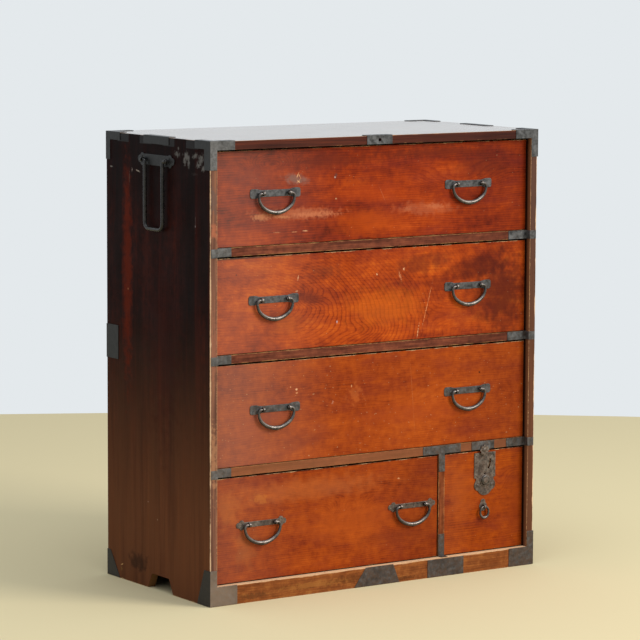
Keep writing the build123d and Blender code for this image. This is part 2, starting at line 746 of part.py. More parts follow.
def spade_outline():
    """Back plate that flares from its waist into a broad end with cut corners at each side."""
    tip = PLATE_LENGTH / 2
    neck = tip - SPADE_LENGTH - SPADE_FLARE
    top = SPADE_HEIGHT / 2
    lower = [
        (neck, -PLATE_WAIST / 2),
        (tip - SPADE_LENGTH, -top),
        (tip - SPADE_CORNER, -top),
        (tip, SPADE_CORNER - top),
    ]
    right = lower + [(u, -v) for u, v in reversed(lower)]
    return polygon(*right, *[(-u, -v) for u, v in right])


def cloud_outline(length, waist, lobe):
    """Back plate with a three-lobed cloud at each end."""
    tip = length / 2 - lobe
    root = tip - 1.25 * lobe
    shape = RegularPolygon(lobe, CLOUD_FLATS, major_radius=False)
    outline = Rectangle(2 * tip, waist) + Pos(-tip, 0) * shape + Pos(tip, 0) * shape
    for side in (-1, 1):
        for height in (-1, 1):
            outline += Pos(side * root, height * 0.75 * lobe) * shape
    return outline


def drawer_handles(places, height, outline):
    """Plates, split pins and bails for the handles of one drawer, and the slots for their pins."""
    pin = split_pin(
        EYE_RADIUS,
        corner_radius(BAIL_END) + EYE_CLEARANCE,
        STRIP_WIDTH,
        STRIP_THICKNESS,
        PIVOT_STANDOFF + FRONT_THICKNESS,
        LEG_REACH,
    )
    hole = shank_hole(STRIP_WIDTH, STRIP_THICKNESS, PIVOT_STANDOFF + FRONT_THICKNESS + PIN_HOLE_OVERRUN)
    pivot = DRAWER_FACE - PIVOT_STANDOFF
    plates, pins, bails, holes = [], [], [], []
    for x in places:
        plate = front_plate(Pos(x, height) * outline, DRAWER_FACE, PLATE_THICKNESS)
        for side in (-1, 1):
            place = Pos(x + side * PIN_SPREAD / 2, pivot, height)
            pins.append(place * pin)
            holes.append(place * hole)
            plate -= place * hole
        plates.append(plate)
        bails.append(Pos(x, pivot, height) * drawer_bail())
    return plates, pins, bails, holes


# ---------------------------------------------------------------- drawers
def drawer_woodwork(name, x_low, x_high, z_low, z_high):
    """The four sides and the bottom of a drawer that fills one opening with its clearances."""
    left = x_low + DRAWER_SIDE_GAP
    right = x_high - DRAWER_SIDE_GAP
    floor = z_low + DRAWER_RUN_GAP
    front_top = z_high - DRAWER_TOP_GAP
    side_top = front_top - SIDE_DROP
    lap = DRAWER_FACE + FRONT_LIP
    inner_left = left + DRAWER_SIDE_THICKNESS
    inner_right = right - DRAWER_SIDE_THICKNESS
    bottom_top = floor + DRAWER_BOTTOM_THICKNESS
    back_top = side_top - BACK_DROP
    back_face = DRAWER_REAR - DRAWER_BACK_THICKNESS

    bottom = board(
        inner_left - DRAWER_BOTTOM_TONGUE,
        inner_right + DRAWER_BOTTOM_TONGUE,
        lap,
        DRAWER_REAR,
        floor,
        bottom_top,
    )
    back = board(inner_left, inner_right, back_face, DRAWER_REAR, bottom_top, back_top)
    for z_0, z_1 in finger_spans(DRAWER_FINGERS, bottom_top, back_top, 1):
        back += board(left, right, back_face, DRAWER_REAR, z_0, z_1)
    sides = []
    for x_0, x_1 in ((left, inner_left), (inner_right, right)):
        sides.append(board(x_0, x_1, lap, DRAWER_REAR, floor, side_top) - bottom - back)
    front = board(left, right, DRAWER_FACE, DRAWER_INNER_FACE, floor, front_top)
    front = chamfer(front.faces().sort_by(Axis.Y)[0].edges(), FRONT_CHAMFER)
    for piece in (*sides, bottom):
        front = front - piece
    return {
        f"{name}_front": [front],
        f"{name}_sides": sides,
        f"{name}_back": [back],
        f"{name}_bottom": [bottom],
    }


def wide_drawer(number, x_low, x_high, places, outline):
    """A drawer with two drop handles, by node name."""
    name = f"drawer_{number}"
    z_low, z_high = OPENINGS[number - 1]
    nodes = drawer_woodwork(name, x_low, x_high, z_low, z_high)
    height = (z_low + z_high) / 2 + HANDLE_RISE
    plates, pins, bails, holes = drawer_handles(places, height, outline)
    for hole in holes:
        nodes[f"{name}_front"][0] = nodes[f"{name}_front"][0] - hole
    nodes[f"{name}_handle_plates"] = plates
    nodes[f"{name}_handle_pins"] = pins
    nodes[f"{name}_left_handle"] = [bails[0]]
    nodes[f"{name}_right_handle"] = [bails[1]]
    return nodes


# ---------------------------------------------------------------- lock and ring of the safe drawer
def bolt_bar():
    """Upright bar of the bolt, behind the drawer front."""
    face = DRAWER_INNER_FACE + BOLT_GAP
    half = BOLT_WIDTH / 2
    return board(
        LOCK_MIDDLE - half,
        LOCK_MIDDLE + half,
        face,
        face + BOLT_THICKNESS,
        KNOB_HEIGHT - STEM_HEIGHT,
        LOCK_CASE_TOP,
    )


def raised(shape, margin):
    """The space that a piece of the bolt sweeps on its way up, with a margin all round."""
    box = shape.bounding_box()
    return board(
        box.min.X - margin,
        box.max.X + margin,
        box.min.Y - margin,
        box.max.Y + margin,
        box.min.Z - margin,
        box.max.Z + BOLT_TRAVEL + margin,
    )


def bolt_mortise():
    """The pocket in the underside of the lowest rail that the bolt rises into."""
    return raised(bolt_bar(), 2 * BOLT_GAP)


def bolt_stem():
    """The stem that joins the thumb knob to the bolt through the drawer front."""
    half = STEM_WIDTH / 2
    return board(
        LOCK_MIDDLE - half,
        LOCK_MIDDLE + half,
        LOCK_FACE - KNOB_GAP,
        DRAWER_INNER_FACE + BOLT_GAP,
        KNOB_HEIGHT - STEM_HEIGHT / 2,
        KNOB_HEIGHT + STEM_HEIGHT / 2,
    )


def lock_bolt():
    """Bolt, stem and thumb knob in one piece."""
    knob = front_plate(
        Pos(LOCK_MIDDLE, KNOB_HEIGHT) * Circle(KNOB_RADIUS), LOCK_FACE - KNOB_GAP, KNOB_THICKNESS
    )
    knob = chamfer(knob.faces().sort_by(Axis.Y)[0].edges(), KNOB_THICKNESS / 3)
    return bolt_bar() + bolt_stem() + knob


def lock_outline():
    """Plate outline: straight sides, a nick, two side lobes and a round tip."""
    top = LOCK_TOP
    half = LOCK_WIDTH / 2
    neck = LOCK_NECK_WIDTH / 2
    tip_middle = top - LOCK_HEIGHT + LOCK_TIP_LOBE
    outline = rectangle(-half, half, top - LOCK_SHOULDER, top)
    outline += rectangle(-neck, neck, tip_middle, top - LOCK_SHOULDER)
    outline += Pos(0, tip_middle) * Circle(LOCK_TIP_LOBE)
    for side in (-1, 1):
        outline += Pos(side * (half - LOCK_SIDE_LOBE), tip_middle + LOCK_LOBE_RISE) * Circle(LOCK_SIDE_LOBE)
    return Pos(LOCK_MIDDLE, 0) * outline


def keyhole(depth):
    """The curved keyhole, as a cut of a given depth behind the face of the lock plate."""
    start = KEYHOLE_TURN - KEYHOLE_SWEEP / 2
    curve = CenterArc((0, 0), KEYHOLE_ARC, start, KEYHOLE_SWEEP)
    slot = SlotArc(curve, KEYHOLE_WIDTH)
    middle = (LOCK_MIDDLE + KEYHOLE_OFFSET, LOCK_TOP - KEYHOLE_FROM_TOP)
    turn = radians(KEYHOLE_TURN)
    place = Pos(middle[0] - KEYHOLE_ARC * cos(turn), middle[1] - KEYHOLE_ARC * sin(turn))
    return front_plate(place * slot, LOCK_FACE, -depth)


def lock_plate():
    """Face plate with its keyhole, the slot for the stem and the round cap over the strike."""
    plate = front_plate(lock_outline(), DRAWER_FACE, LOCK_THICKNESS)
    cap_back = RAIL_FACE - IRON - CAP_GAP
    disc = Pos(CAP_MIDDLE, LOCK_TOP + CAP_RISE) * Circle(CAP_RADIUS)
    cap = front_plate(disc, cap_back, CAP_THICKNESS)
    cap = chamfer(cap.faces().sort_by(Axis.Y)[0].edges(), CAP_THICKNESS / 3)
    seat = disc & rectangle(
        CAP_MIDDLE - CAP_RADIUS, CAP_MIDDLE + CAP_RADIUS, LOCK_TOP - CAP_RADIUS, LOCK_TOP
    )
    neck = front_plate(seat, LOCK_FACE, LOCK_FACE - cap_back)
    return plate + cap + neck - keyhole(LOCK_THICKNESS) - raised(bolt_stem(), BOLT_GAP)


def lock_case():
    """Open-fronted iron box on the back of the drawer front, in which the bolt slides."""
    half = LOCK_CASE_WIDTH / 2
    low = LOCK_CASE_TOP - LOCK_CASE_HEIGHT
    deep = BOLT_GAP + BOLT_THICKNESS + BOLT_GAP
    outer = board(
        LOCK_MIDDLE - half,
        LOCK_MIDDLE + half,
        DRAWER_INNER_FACE,
        DRAWER_INNER_FACE + deep + LOCK_CASE_WALL,
        low,
        LOCK_CASE_TOP,
    )
    inner = board(
        LOCK_MIDDLE - half + LOCK_CASE_WALL,
        LOCK_MIDDLE + half - LOCK_CASE_WALL,
        DRAWER_INNER_FACE,
        DRAWER_INNER_FACE + deep,
        low + LOCK_CASE_WALL,
        LOCK_CASE_TOP - LOCK_CASE_WALL,
    )
    return outer - inner - raised(bolt_bar(), BOLT_GAP)


def ring_bore():
    """Radius of the eye that the ring hangs in, allowing for the ring's own curve."""
    sagitta = RING_RADIUS - (RING_RADIUS**2 - (STRIP_WIDTH / 2) ** 2) ** 0.5
    return corner_radius(RING_BAR) + sagitta + EYE_CLEARANCE


def pull_ring():
    """A ring about X through its pivot, hanging down in front of the safe drawer."""
    centre = Pos(RING_MIDDLE, DRAWER_FACE - RING_STANDOFF, RING_PIVOT_HEIGHT - RING_RADIUS)
    half = CenterArc((0, 0), RING_RADIUS, 0, 180).edge()
    sections = []
    for point, direction in run_ends([Plane.XZ * half]):
        plane = Plane(origin=point, x_dir=(0, 1, 0), z_dir=direction)
        sections.append(plane * forged_section(RING_BAR))
    upper = loft(sections, ruled=True)
    return centre * (upper + mirror(upper, Plane.XY))


def ring_mount():
    """Teardrop plate and split pin that carry the ring."""
    outline = Circle(RING_PLATE_RADIUS) + Pos(0, RING_PLATE_RADIUS) * Circle(RING_PLATE_TIP)
    hole = shank_hole(STRIP_WIDTH, STRIP_THICKNESS, RING_STANDOFF + FRONT_THICKNESS + PIN_HOLE_OVERRUN)
    place = Pos(RING_MIDDLE, DRAWER_FACE - RING_STANDOFF, RING_PIVOT_HEIGHT)
    plate = front_plate(Pos(RING_MIDDLE, RING_PIVOT_HEIGHT) * outline, DRAWER_FACE, PLATE_THICKNESS)
    pin = split_pin(
        RING_EYE_RADIUS,
        ring_bore(),
        STRIP_WIDTH,
        STRIP_THICKNESS,
        RING_STANDOFF + FRONT_THICKNESS,
        LEG_REACH,
    )
    return [plate - place * hole, place * pin], place * hole


def safe_drawer():
    """The small drawer with a lock and a ring pull, by node name."""
    z_low, z_high = OPENINGS[-1]
    nodes = drawer_woodwork("safe_drawer", DIVIDER_RIGHT, INNER_RIGHT, z_low, z_high)
    mount, hole = ring_mount()
    front = nodes["safe_drawer_front"][0] - hole - raised(bolt_stem(), BOLT_GAP)
    nodes["safe_drawer_front"] = [front - keyhole(LOCK_THICKNESS + KEYHOLE_POCKET)]
    nodes["lock_plate"] = [lock_plate()]
    nodes["lock_case"] = [lock_case()]
    nodes["lock_bolt"] = [lock_bolt()]
    nodes["ring_mount"] = mount
    nodes["pull_ring"] = [pull_ring()]
    return nodes


# ---------------------------------------------------------------- carrying handles
def carrying_handle():
    """Plate, split pins and bail of the left carrying handle, and the slots for its pins."""
    middle = FRONT + CARRY_FROM_FRONT
    turn = Pos(LEFT - CARRY_STANDOFF, middle, CARRY_HEIGHT) * Rot(0, 0, -90)
    reach = CARRY_STANDOFF + SIDE_THICKNESS - CARRY_STRIP_THICKNESS
    pin = split_pin(
        CARRY_EYE_RADIUS,
        corner_radius(CARRY_END) + EYE_CLEARANCE,
        CARRY_STRIP_WIDTH,
        CARRY_STRIP_THICKNESS,
        reach,
        CARRY_LEG_REACH,
    )
    hole = shank_hole(CARRY_STRIP_WIDTH, CARRY_STRIP_THICKNESS, reach)
    outline = cloud_outline(CARRY_PLATE_LENGTH, CARRY_PLATE_WAIST, CARRY_LOBE)
    plate = left_plate(Pos(-middle, CARRY_HEIGHT) * outline, CARRY_PLATE_THICKNESS)
    pins, holes = [], []
    for side in (-1, 1):
        place = turn * Pos(side * CARRY_PIN_SPREAD / 2, 0, 0)
        pins.append(place * pin)
        holes.append(place * hole + place * pin)
        plate -= place * hole
    return plate, pins, turn * carry_bail(), holes


# ---------------------------------------------------------------- the whole chest
def chest():
    """Every node of the chest, as a name and its solids."""
    nodes = case_woodwork()
    plate, pins, bail, holes = carrying_handle()
    for name, flip in (("left_side_panel", False), ("right_side_panel", True)):
        for hole in holes:
            nodes[name][0] = nodes[name][0] - (mirror(hole, Plane.YZ) if flip else hole)
    nodes["side_handle_plates"] = both_sides(plate)
    nodes["side_handle_pins"] = [solid for pin in pins for solid in both_sides(pin)]
    nodes["left_carrying_handle"] = [bail]
    nodes["right_carrying_handle"] = [mirror(bail, Plane.YZ)]

    nodes["top_corner_irons"] = both_sides(top_front_iron()) + both_sides(top_back_iron())
    nodes["foot_irons"] = both_sides(front_foot_iron()) + both_sides(back_foot_iron())
    nodes["edge_irons"] = [centre_plate(), *both_sides(side_edge_strap()), *both_sides(back_edge_strap())]
    nodes["edge_irons"] += plinth_plates()
    nodes["rail_straps"] = rail_straps()

    spades = spade_outline()
    clouds = cloud_outline(PLATE_LENGTH, CLOUD_WAIST, CLOUD_LOBE)
    for number, (left_inset, right_inset) in enumerate(HANDLE_INSETS, 1):
        places = (INNER_LEFT + left_inset, INNER_RIGHT - right_inset)
        nodes.update(wide_drawer(number, INNER_LEFT, INNER_RIGHT, places, spades))
    low_places = (INNER_LEFT + LOW_HANDLE_LEFT_INSET, DIVIDER_LEFT - LOW_HANDLE_RIGHT_INSET)
    nodes.update(wide_drawer(4, INNER_LEFT, DIVIDER_LEFT, low_places, clouds))
    nodes.update(safe_drawer())
    return nodes


os.makedirs("parts", exist_ok=True)
for node, solids in chest().items():
    write(node, *solids)
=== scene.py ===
# %% [markdown]
# # An isho-dansu in Blender
# An isho-dansu is a Japanese chest for clothing: a frame of lacquered boards, drawers one above the other,
# and blacksmith's ironwork at every corner and joint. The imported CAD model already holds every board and
# every joint. This lesson dresses it: first the camera and the light, then the forged pieces, and then one
# finish after another. Everything is in metres, in the frame of the CAD model.

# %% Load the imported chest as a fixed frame
import json
import math

import bpy
from mathutils import Euler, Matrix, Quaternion, Vector

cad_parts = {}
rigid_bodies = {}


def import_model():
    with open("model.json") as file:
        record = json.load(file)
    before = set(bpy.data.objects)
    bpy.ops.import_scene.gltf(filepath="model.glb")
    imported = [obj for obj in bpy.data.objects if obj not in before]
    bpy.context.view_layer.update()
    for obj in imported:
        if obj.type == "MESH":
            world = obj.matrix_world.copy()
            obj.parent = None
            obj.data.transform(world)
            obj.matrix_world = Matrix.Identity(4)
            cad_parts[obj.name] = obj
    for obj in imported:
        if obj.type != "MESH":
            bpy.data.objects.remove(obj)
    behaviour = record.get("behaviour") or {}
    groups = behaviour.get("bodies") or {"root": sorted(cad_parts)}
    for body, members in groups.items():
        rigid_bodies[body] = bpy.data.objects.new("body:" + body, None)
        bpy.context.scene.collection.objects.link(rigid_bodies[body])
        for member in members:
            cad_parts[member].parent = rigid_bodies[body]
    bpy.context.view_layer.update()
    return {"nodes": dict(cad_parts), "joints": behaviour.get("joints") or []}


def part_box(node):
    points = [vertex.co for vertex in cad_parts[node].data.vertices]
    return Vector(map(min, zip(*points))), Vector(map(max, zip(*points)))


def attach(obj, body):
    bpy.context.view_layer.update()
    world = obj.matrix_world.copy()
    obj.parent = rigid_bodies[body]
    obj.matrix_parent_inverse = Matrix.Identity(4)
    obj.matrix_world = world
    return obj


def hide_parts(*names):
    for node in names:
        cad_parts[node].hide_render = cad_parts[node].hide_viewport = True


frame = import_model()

MM = 0.001
pivots = {joint["name"]: Vector(joint["pos_m"]) for joint in frame["joints"] if joint["type"] == "hinge"}
case_low, case_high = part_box("left_side_panel")
LEFT = case_low.x
FRONT = case_low.y
BACK = case_high.y
TOP = case_high.z
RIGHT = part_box("right_side_panel")[1].x
print("case from", [round(value, 4) for value in (LEFT, FRONT, 0)],
      "to", [round(value, 4) for value in (RIGHT, BACK, TOP)])


# %% [markdown]
# ## Two small helpers for every material
# Colours are easiest to choose as sRGB hex values, but shader nodes count in linear light, so one function
# turns one into the other. The second helper adds any node, sets it up, links it and hands back the output
# that the next node needs, so that a material reads from top to bottom.

# %% Colour and node helpers
def colour(code):
    """Linear RGBA from an sRGB hex value."""
    parts = [int(code[i:i + 2], 16) / 255 for i in (1, 3, 5)]
    return [p / 12.92 if p <= 0.04045 else ((p + 0.055) / 1.055) ** 2.4 for p in parts] + [1.0]


def add(tree, kind, inputs=(), out=0, stops=(), **settings):
    """Adds a node, with its settings and its inputs (values or outputs of other nodes); returns an output."""
    node = tree.nodes.new("ShaderNode" + kind)
    for name, value in settings.items():
        setattr(node, name, value)
    for key, value in (inputs.items() if isinstance(inputs, dict) else enumerate(inputs)):
        if isinstance(value, bpy.types.NodeSocket):
            tree.links.new(value, node.inputs[key])
        else:
            node.inputs[key].default_value = value
    if stops:
        ramp = node.color_ramp
        while len(ramp.elements) < len(stops):
            ramp.elements.new(1.0)
        for element, (place, code) in zip(ramp.elements, stops):
            element.position = place
            element.color = colour(code)
    return node.outputs[out] if node.outputs else None


def new_material(name):
    """An empty node material: its tree, and the shader that everything ends in."""
    material = bpy.data.materials.new(name)
    material.use_nodes = True
    tree = material.node_tree
    tree.nodes.clear()
    shader = add(tree, "BsdfPrincipled").node
    add(tree, "OutputMaterial", {"Surface": shader.outputs[0]})
    return material, tree, shader


# %% [markdown]
# ## Camera
# The chest is seen from its front left, from a little above the top, through a long lens seven metres away.
# Azimuth and elevation give the direction it looks in. It tracks that direction, and is then rolled by a
# quarter of a degree about it.

# %% Camera
AZIMUTH, ELEVATION, ROLL = (math.radians(degrees) for degrees in (34.162, 6.899, 0.2496))
ahead_x, ahead_y = math.sin(AZIMUTH), math.cos(AZIMUTH)
forward = Vector((ahead_x * math.cos(ELEVATION), ahead_y * math.cos(ELEVATION), -math.sin(ELEVATION)))
camera = bpy.data.objects.new("camera", bpy.data.cameras.new("camera"))
bpy.context.scene.collection.objects.link(camera)
camera.data.lens = 175.23
camera.data.sensor_width = 36.0
camera.rotation_mode = "QUATERNION"
camera.rotation_quaternion = forward.to_track_quat("-Z", "Y")
camera.location = (-3.952, -5.8103, 1.4252)
camera.rotation_quaternion = Quaternion(forward, -ROLL) @ camera.rotation_quaternion
camera.data.clip_end = 60
bpy.context.scene.camera = camera
print("camera", [round(value, 3) for value in camera.location])


# %% [markdown]
# ## Floor and light
# A plain pale floor, an even pale background, one large soft lamp from the front right and a weaker one from
# above and behind, which the top of the chest mirrors at a low angle. The background shows as it is to the
# camera and in reflections, but lights the scene less, so that the left side stays in the shade.

# %% Floor
def leave_nothing_selected():
    if bpy.context.object and bpy.context.object.mode != "OBJECT":
        bpy.ops.object.mode_set(mode="OBJECT")
    bpy.ops.object.select_all(action="DESELECT")


FLOOR_RADIUS = 7.5
FLOOR_TOWARDS_CAMERA = 5.1
leave_nothing_selected()
bpy.ops.mesh.primitive_circle_add(
    vertices=96, radius=FLOOR_RADIUS, fill_type="NGON",
    location=(-FLOOR_TOWARDS_CAMERA * ahead_x, -FLOOR_TOWARDS_CAMERA * ahead_y, 0)
)
floor = bpy.context.object
floor.name = "studio_floor"
material, tree, shader = new_material("pale_studio_floor")
shader.inputs["Base Color"].default_value = colour("#DDD0A8")
shader.inputs["Roughness"].default_value = 0.9
shader.inputs["Specular IOR Level"].default_value = 0.05
floor.data.materials.append(material)
print("floor of", round(2 * FLOOR_RADIUS, 1), "m across")

# %% Background and lamps
world = bpy.data.worlds.new("studio")
bpy.context.scene.world = world
world.use_nodes = True
tree = world.node_tree
tree.nodes.clear()
path = add(tree, "LightPath").node
seen = add(tree, "Math", (path.outputs["Is Camera Ray"], path.outputs["Is Glossy Ray"]), operation="MAXIMUM")
seen = add(tree, "Math", (seen, path.outputs["Is Transmission Ray"]), operation="MAXIMUM")
shown = add(tree, "Background", {"Color": colour("#E4E9EC"), "Strength": 1.0})
lighting = add(tree, "Background", {"Color": colour("#EEF3F8"), "Strength": 0.62})
mixed = add(tree, "MixShader", (seen, lighting, shown))
add(tree, "OutputWorld", {"Surface": mixed})


def lamp(name, location, target, size, power, tint):
    """A square area lamp that the camera doesn't see."""
    light = bpy.data.lights.new(name, "AREA")
    light.size = size
    light.energy = power
    light.color = colour(tint)[:3]
    holder = bpy.data.objects.new(name, light)
    bpy.context.scene.collection.objects.link(holder)
    holder.location = location
    holder.rotation_euler = (Vector(target) - Vector(location)).to_track_quat("-Z", "Y").to_euler()
    holder.visible_camera = False
    print(name, "lamp of", power, "W")


lamp("key", (3.0, -4.6, 3.4), (0, 0, 0.5), 2.6, 260, "#FFF7EC")
lamp("sky", (-0.3, -1.0, 4.6), (0, -0.2, 0.6), 3.0, 70, "#F2F7FF")
bpy.context.scene.view_settings.view_transform = "Standard"


# %% [markdown]
# ## Drawing out iron bars
# A drop handle is a round iron bar, drawn out and bent over the anvil. In Blender the same work is a disc
# whose face is extruded along straights and spun round bends, and scaled a little at every step where the
# bar gets thicker. A curve with a bevel would be quicker, but it has one thickness all along and no ends.

# %% A smith's moves
class Smith:
    """Draws a selected face out along straights and bends that lie in one plane."""

    def __init__(self, at, heading, across, up):
        self.at = Vector(at)
        self.heading = math.radians(heading)
        self.across = Vector(across)
        self.up = Vector(up)
        self.axis = self.across.cross(self.up)

    def along(self, turned=0.0):
        angle = self.heading + math.radians(turned)
        return self.across * math.cos(angle) + self.up * math.sin(angle)

    def straight(self, length):
        step = self.along() * length
        bpy.ops.mesh.extrude_region_move(TRANSFORM_OT_translate={"value": step})
        self.at += step

    def bend(self, radius, degrees, steps, swell=1.0):
        centre = self.at + self.along(90 if degrees > 0 else -90) * radius
        step = math.radians(degrees / steps)
        for _ in range(steps):
            bpy.ops.mesh.spin(steps=1, angle=SPIN_SIGN * step, center=centre, axis=self.axis)
            self.at = centre + Quaternion(self.axis, step) @ (self.at - centre)
            self.heading += step
            if swell != 1.0:
                self.scale(swell)

    def scale(self, factor):
        bpy.ops.transform.resize(value=(factor, factor, factor), center_override=self.at)

    def shoulder(self, factor):
        """A step in the bar's thickness at one place."""
        bpy.ops.mesh.extrude_region_move(TRANSFORM_OT_translate={"value": (0, 0, 0)})
        self.scale(factor)


# %% Which way a spin turns
def spin_direction():
    """Which way this Blender's spin turns for a positive angle, tried on one point."""
    leave_nothing_selected()
    bpy.ops.mesh.primitive_plane_add(size=0.1, location=(1, 0, 0))
    bpy.ops.object.mode_set(mode="EDIT")
    bpy.ops.mesh.spin(steps=1, angle=math.pi / 2, center=(0, 0, 0), axis=(0, 0, 1))
    bpy.ops.object.mode_set(mode="OBJECT")
    probe = bpy.context.object
    highest = max(probe.data.vertices, key=lambda v: abs(v.co.y)).co.y
    bpy.data.objects.remove(probe)
    return 1 if highest > 0 else -1


SPIN_SIGN = spin_direction()
print("spin turns", "anticlockwise" if SPIN_SIGN > 0 else "clockwise", "for a positive angle")


# %% Beginning and closing a piece
def begin(name, kind, **shape):
    """Adds a primitive, applies its place and opens it in edit mode with everything selected."""
    leave_nothing_selected()
    getattr(bpy.ops.mesh, f"primitive_{kind}_add")(**shape)
    piece = bpy.context.object
    piece.name = piece.data.name = name
    bpy.ops.object.transform_apply(location=True, rotation=True, scale=True)
    bpy.ops.object.mode_set(mode="EDIT")
    bpy.ops.mesh.select_all(action="SELECT")
    return piece


def close(piece, merge=0.01 * MM):
    """Leaves edit mode with doubles merged and every face turned outwards."""
    bpy.ops.mesh.select_all(action="SELECT")
    bpy.ops.mesh.remove_doubles(threshold=merge)
    bpy.ops.mesh.normals_make_consistent(inside=False)
    bpy.ops.object.mode_set(mode="OBJECT")
    return piece


# %% Taking up, settling and smoothing a piece
def take(piece):
    """Selects one piece alone, for the operators that follow."""
    leave_nothing_selected()
    piece.select_set(True)
    bpy.context.view_layer.objects.active = piece


def settle(piece, place=(0, 0, 0), turn=(0, 0, 0), size=(1, 1, 1)):
    """Moves, turns and scales a piece, and puts all of it into its mesh: the object stays at the origin."""
    take(piece)
    piece.location = place
    piece.rotation_euler = turn
    piece.scale = size
    bpy.ops.object.transform_apply(location=True, rotation=True, scale=True)


def apply_modifier(piece, kind, **settings):
    """Adds a modifier to a piece and applies it at once."""
    take(piece)
    modifier = piece.modifiers.new(kind.lower(), kind)
    for name, value in settings.items():
        setattr(modifier, name, value)
    bpy.ops.object.modifier_apply(modifier=modifier.name)


def smooth(piece, degrees=35):
    """Smooth shading, with edges sharper than an angle kept."""
    take(piece)
    bpy.ops.object.shade_smooth_by_angle(angle=math.radians(degrees))


# %% Copies, and pieces joined into one
def copy_to(piece, name, offset, mirrored=False):
    """A copy with its own mesh, moved or mirrored left to right, its object still at the origin."""
    twin = piece.copy()
    twin.data = piece.data.copy()
    twin.name = twin.data.name = name
    bpy.context.scene.collection.objects.link(twin)
    settle(twin, offset, size=(-1, 1, 1) if mirrored else (1, 1, 1))
    if mirrored:
        bpy.ops.object.mode_set(mode="EDIT")
        bpy.ops.mesh.select_all(action="SELECT")
        bpy.ops.mesh.normals_make_consistent(inside=False)
        bpy.ops.object.mode_set(mode="OBJECT")
    return twin


def weld(pieces, name):
    """Joins finished pieces into one object."""
    leave_nothing_selected()
    for piece in pieces:
        piece.select_set(True)
    bpy.context.view_layer.objects.active = pieces[0]
    if len(pieces) > 1:
        bpy.ops.object.join()
    joined = bpy.context.view_layer.objects.active
    joined.name = joined.data.name = name
    return joined


# %% [markdown]
# ## The drop handles
# Each bail starts as an upset head inside the eye of a split pin. The bar turns down, swings round an oval
# and thickens towards its middle, where the smith left a low collar. It is made once, at the origin, with its
# pivot line on X, and then copied to every pivot of the CAD model, so that it turns in its own eyes.

# %% The bail's sizes and its oval
BAIL_END = 6.2 * MM
BAIL_MIDDLE = 10.4 * MM
BAIL_HEAD = 7.2 * MM
HEAD_LENGTH = 2.4 * MM
BAIL_TIP = 28.75 * MM
BAIL_HALF_WIDTH = 46.0 * MM
BAIL_DROP = 42.5 * MM
BAIL_CORNER = 7.5 * MM
SHOULDER_TURN = 50.0
COLLAR = 1.09
COLLAR_TURN = 4
SWELL_STEPS = 11


def oval_radii():
    """Radii of the shoulder and belly arcs that join the bail's corners to its lowest point."""
    fall = BAIL_DROP - BAIL_CORNER
    cosine = math.cos(math.radians(SHOULDER_TURN))
    sine = math.sin(math.radians(SHOULDER_TURN))
    determinant = (1 - cosine) * (1 - sine) - cosine * sine
    shoulder = (BAIL_HALF_WIDTH * (1 - sine) - cosine * fall) / determinant
    belly = ((1 - cosine) * fall - sine * BAIL_HALF_WIDTH) / determinant
    return shoulder, belly


print("shoulder and belly arcs of", [round(radius / MM, 1) for radius in oval_radii()], "mm")


# %% One bail, then eight
def forge_bail():
    """A drop handle about X through the origin, hanging down."""
    shoulder, belly = oval_radii()
    bail = begin("bail", "circle", vertices=12, radius=BAIL_HEAD / 2, fill_type="NGON",
                 location=(-BAIL_TIP, 0, 0), rotation=(0, math.pi / 2, 0))
    smith = Smith((-BAIL_TIP, 0, 0), 180, (1, 0, 0), (0, 0, 1))
    smith.straight(HEAD_LENGTH)
    smith.shoulder(BAIL_END / BAIL_HEAD)
    smith.straight(BAIL_HALF_WIDTH - BAIL_CORNER - BAIL_TIP - HEAD_LENGTH)
    smith.bend(BAIL_CORNER, 90, 6)
    swell = (BAIL_MIDDLE / BAIL_END) ** (1 / SWELL_STEPS)
    belly_turn = 90 - SHOULDER_TURN - COLLAR_TURN / 2
    smith.bend(shoulder, SHOULDER_TURN, 6, swell)
    smith.bend(belly, belly_turn, 5, swell)
    smith.shoulder(COLLAR)
    smith.bend(belly, COLLAR_TURN, 2)
    smith.shoulder(1 / COLLAR)
    smith.bend(belly, belly_turn, 5, 1 / swell)
    smith.bend(shoulder, SHOULDER_TURN, 6, 1 / swell)
    smith.bend(BAIL_CORNER, 90, 6)
    smith.straight(BAIL_HALF_WIDTH - BAIL_CORNER - BAIL_TIP - HEAD_LENGTH)
    smith.shoulder(BAIL_HEAD / BAIL_END)
    smith.straight(HEAD_LENGTH)
    close(bail)
    apply_modifier(bail, "SUBSURF", levels=1, render_levels=1)
    smooth(bail, 60)
    return bail


bail = forge_bail()
bails = []
for name, pivot in pivots.items():
    if name.startswith("drawer_"):
        node = name[:-len("_swing")]
        piece = copy_to(bail, node + "_bail", pivot)
        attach(piece, node)
        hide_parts(node)
        bails.append(piece)
bpy.data.objects.remove(bail)
print(len(bails), "bails of", len(bails[0].data.polygons), "faces")


# %% [markdown]
# ## The carrying handles
# A long U of round bar, whose ends turn outwards into the eyes of its own split pins. It lies in one plane
# and is the same seen from either side, so one handle is made at the origin, with its pivot line on Y, and
# copied to the pivots on both sides of the case.

# %% Carrying handles
CARRY_BAR = 8.8 * MM
CARRY_END = 5.6 * MM
CARRY_HEAD = 7.6 * MM
CARRY_TIP = 54.25 * MM
CARRY_HALF_WIDTH = 37.0 * MM
CARRY_DROP = 151.0 * MM
CARRY_TOP_BEND = 5.5 * MM
CARRY_CORNER = 16.0 * MM


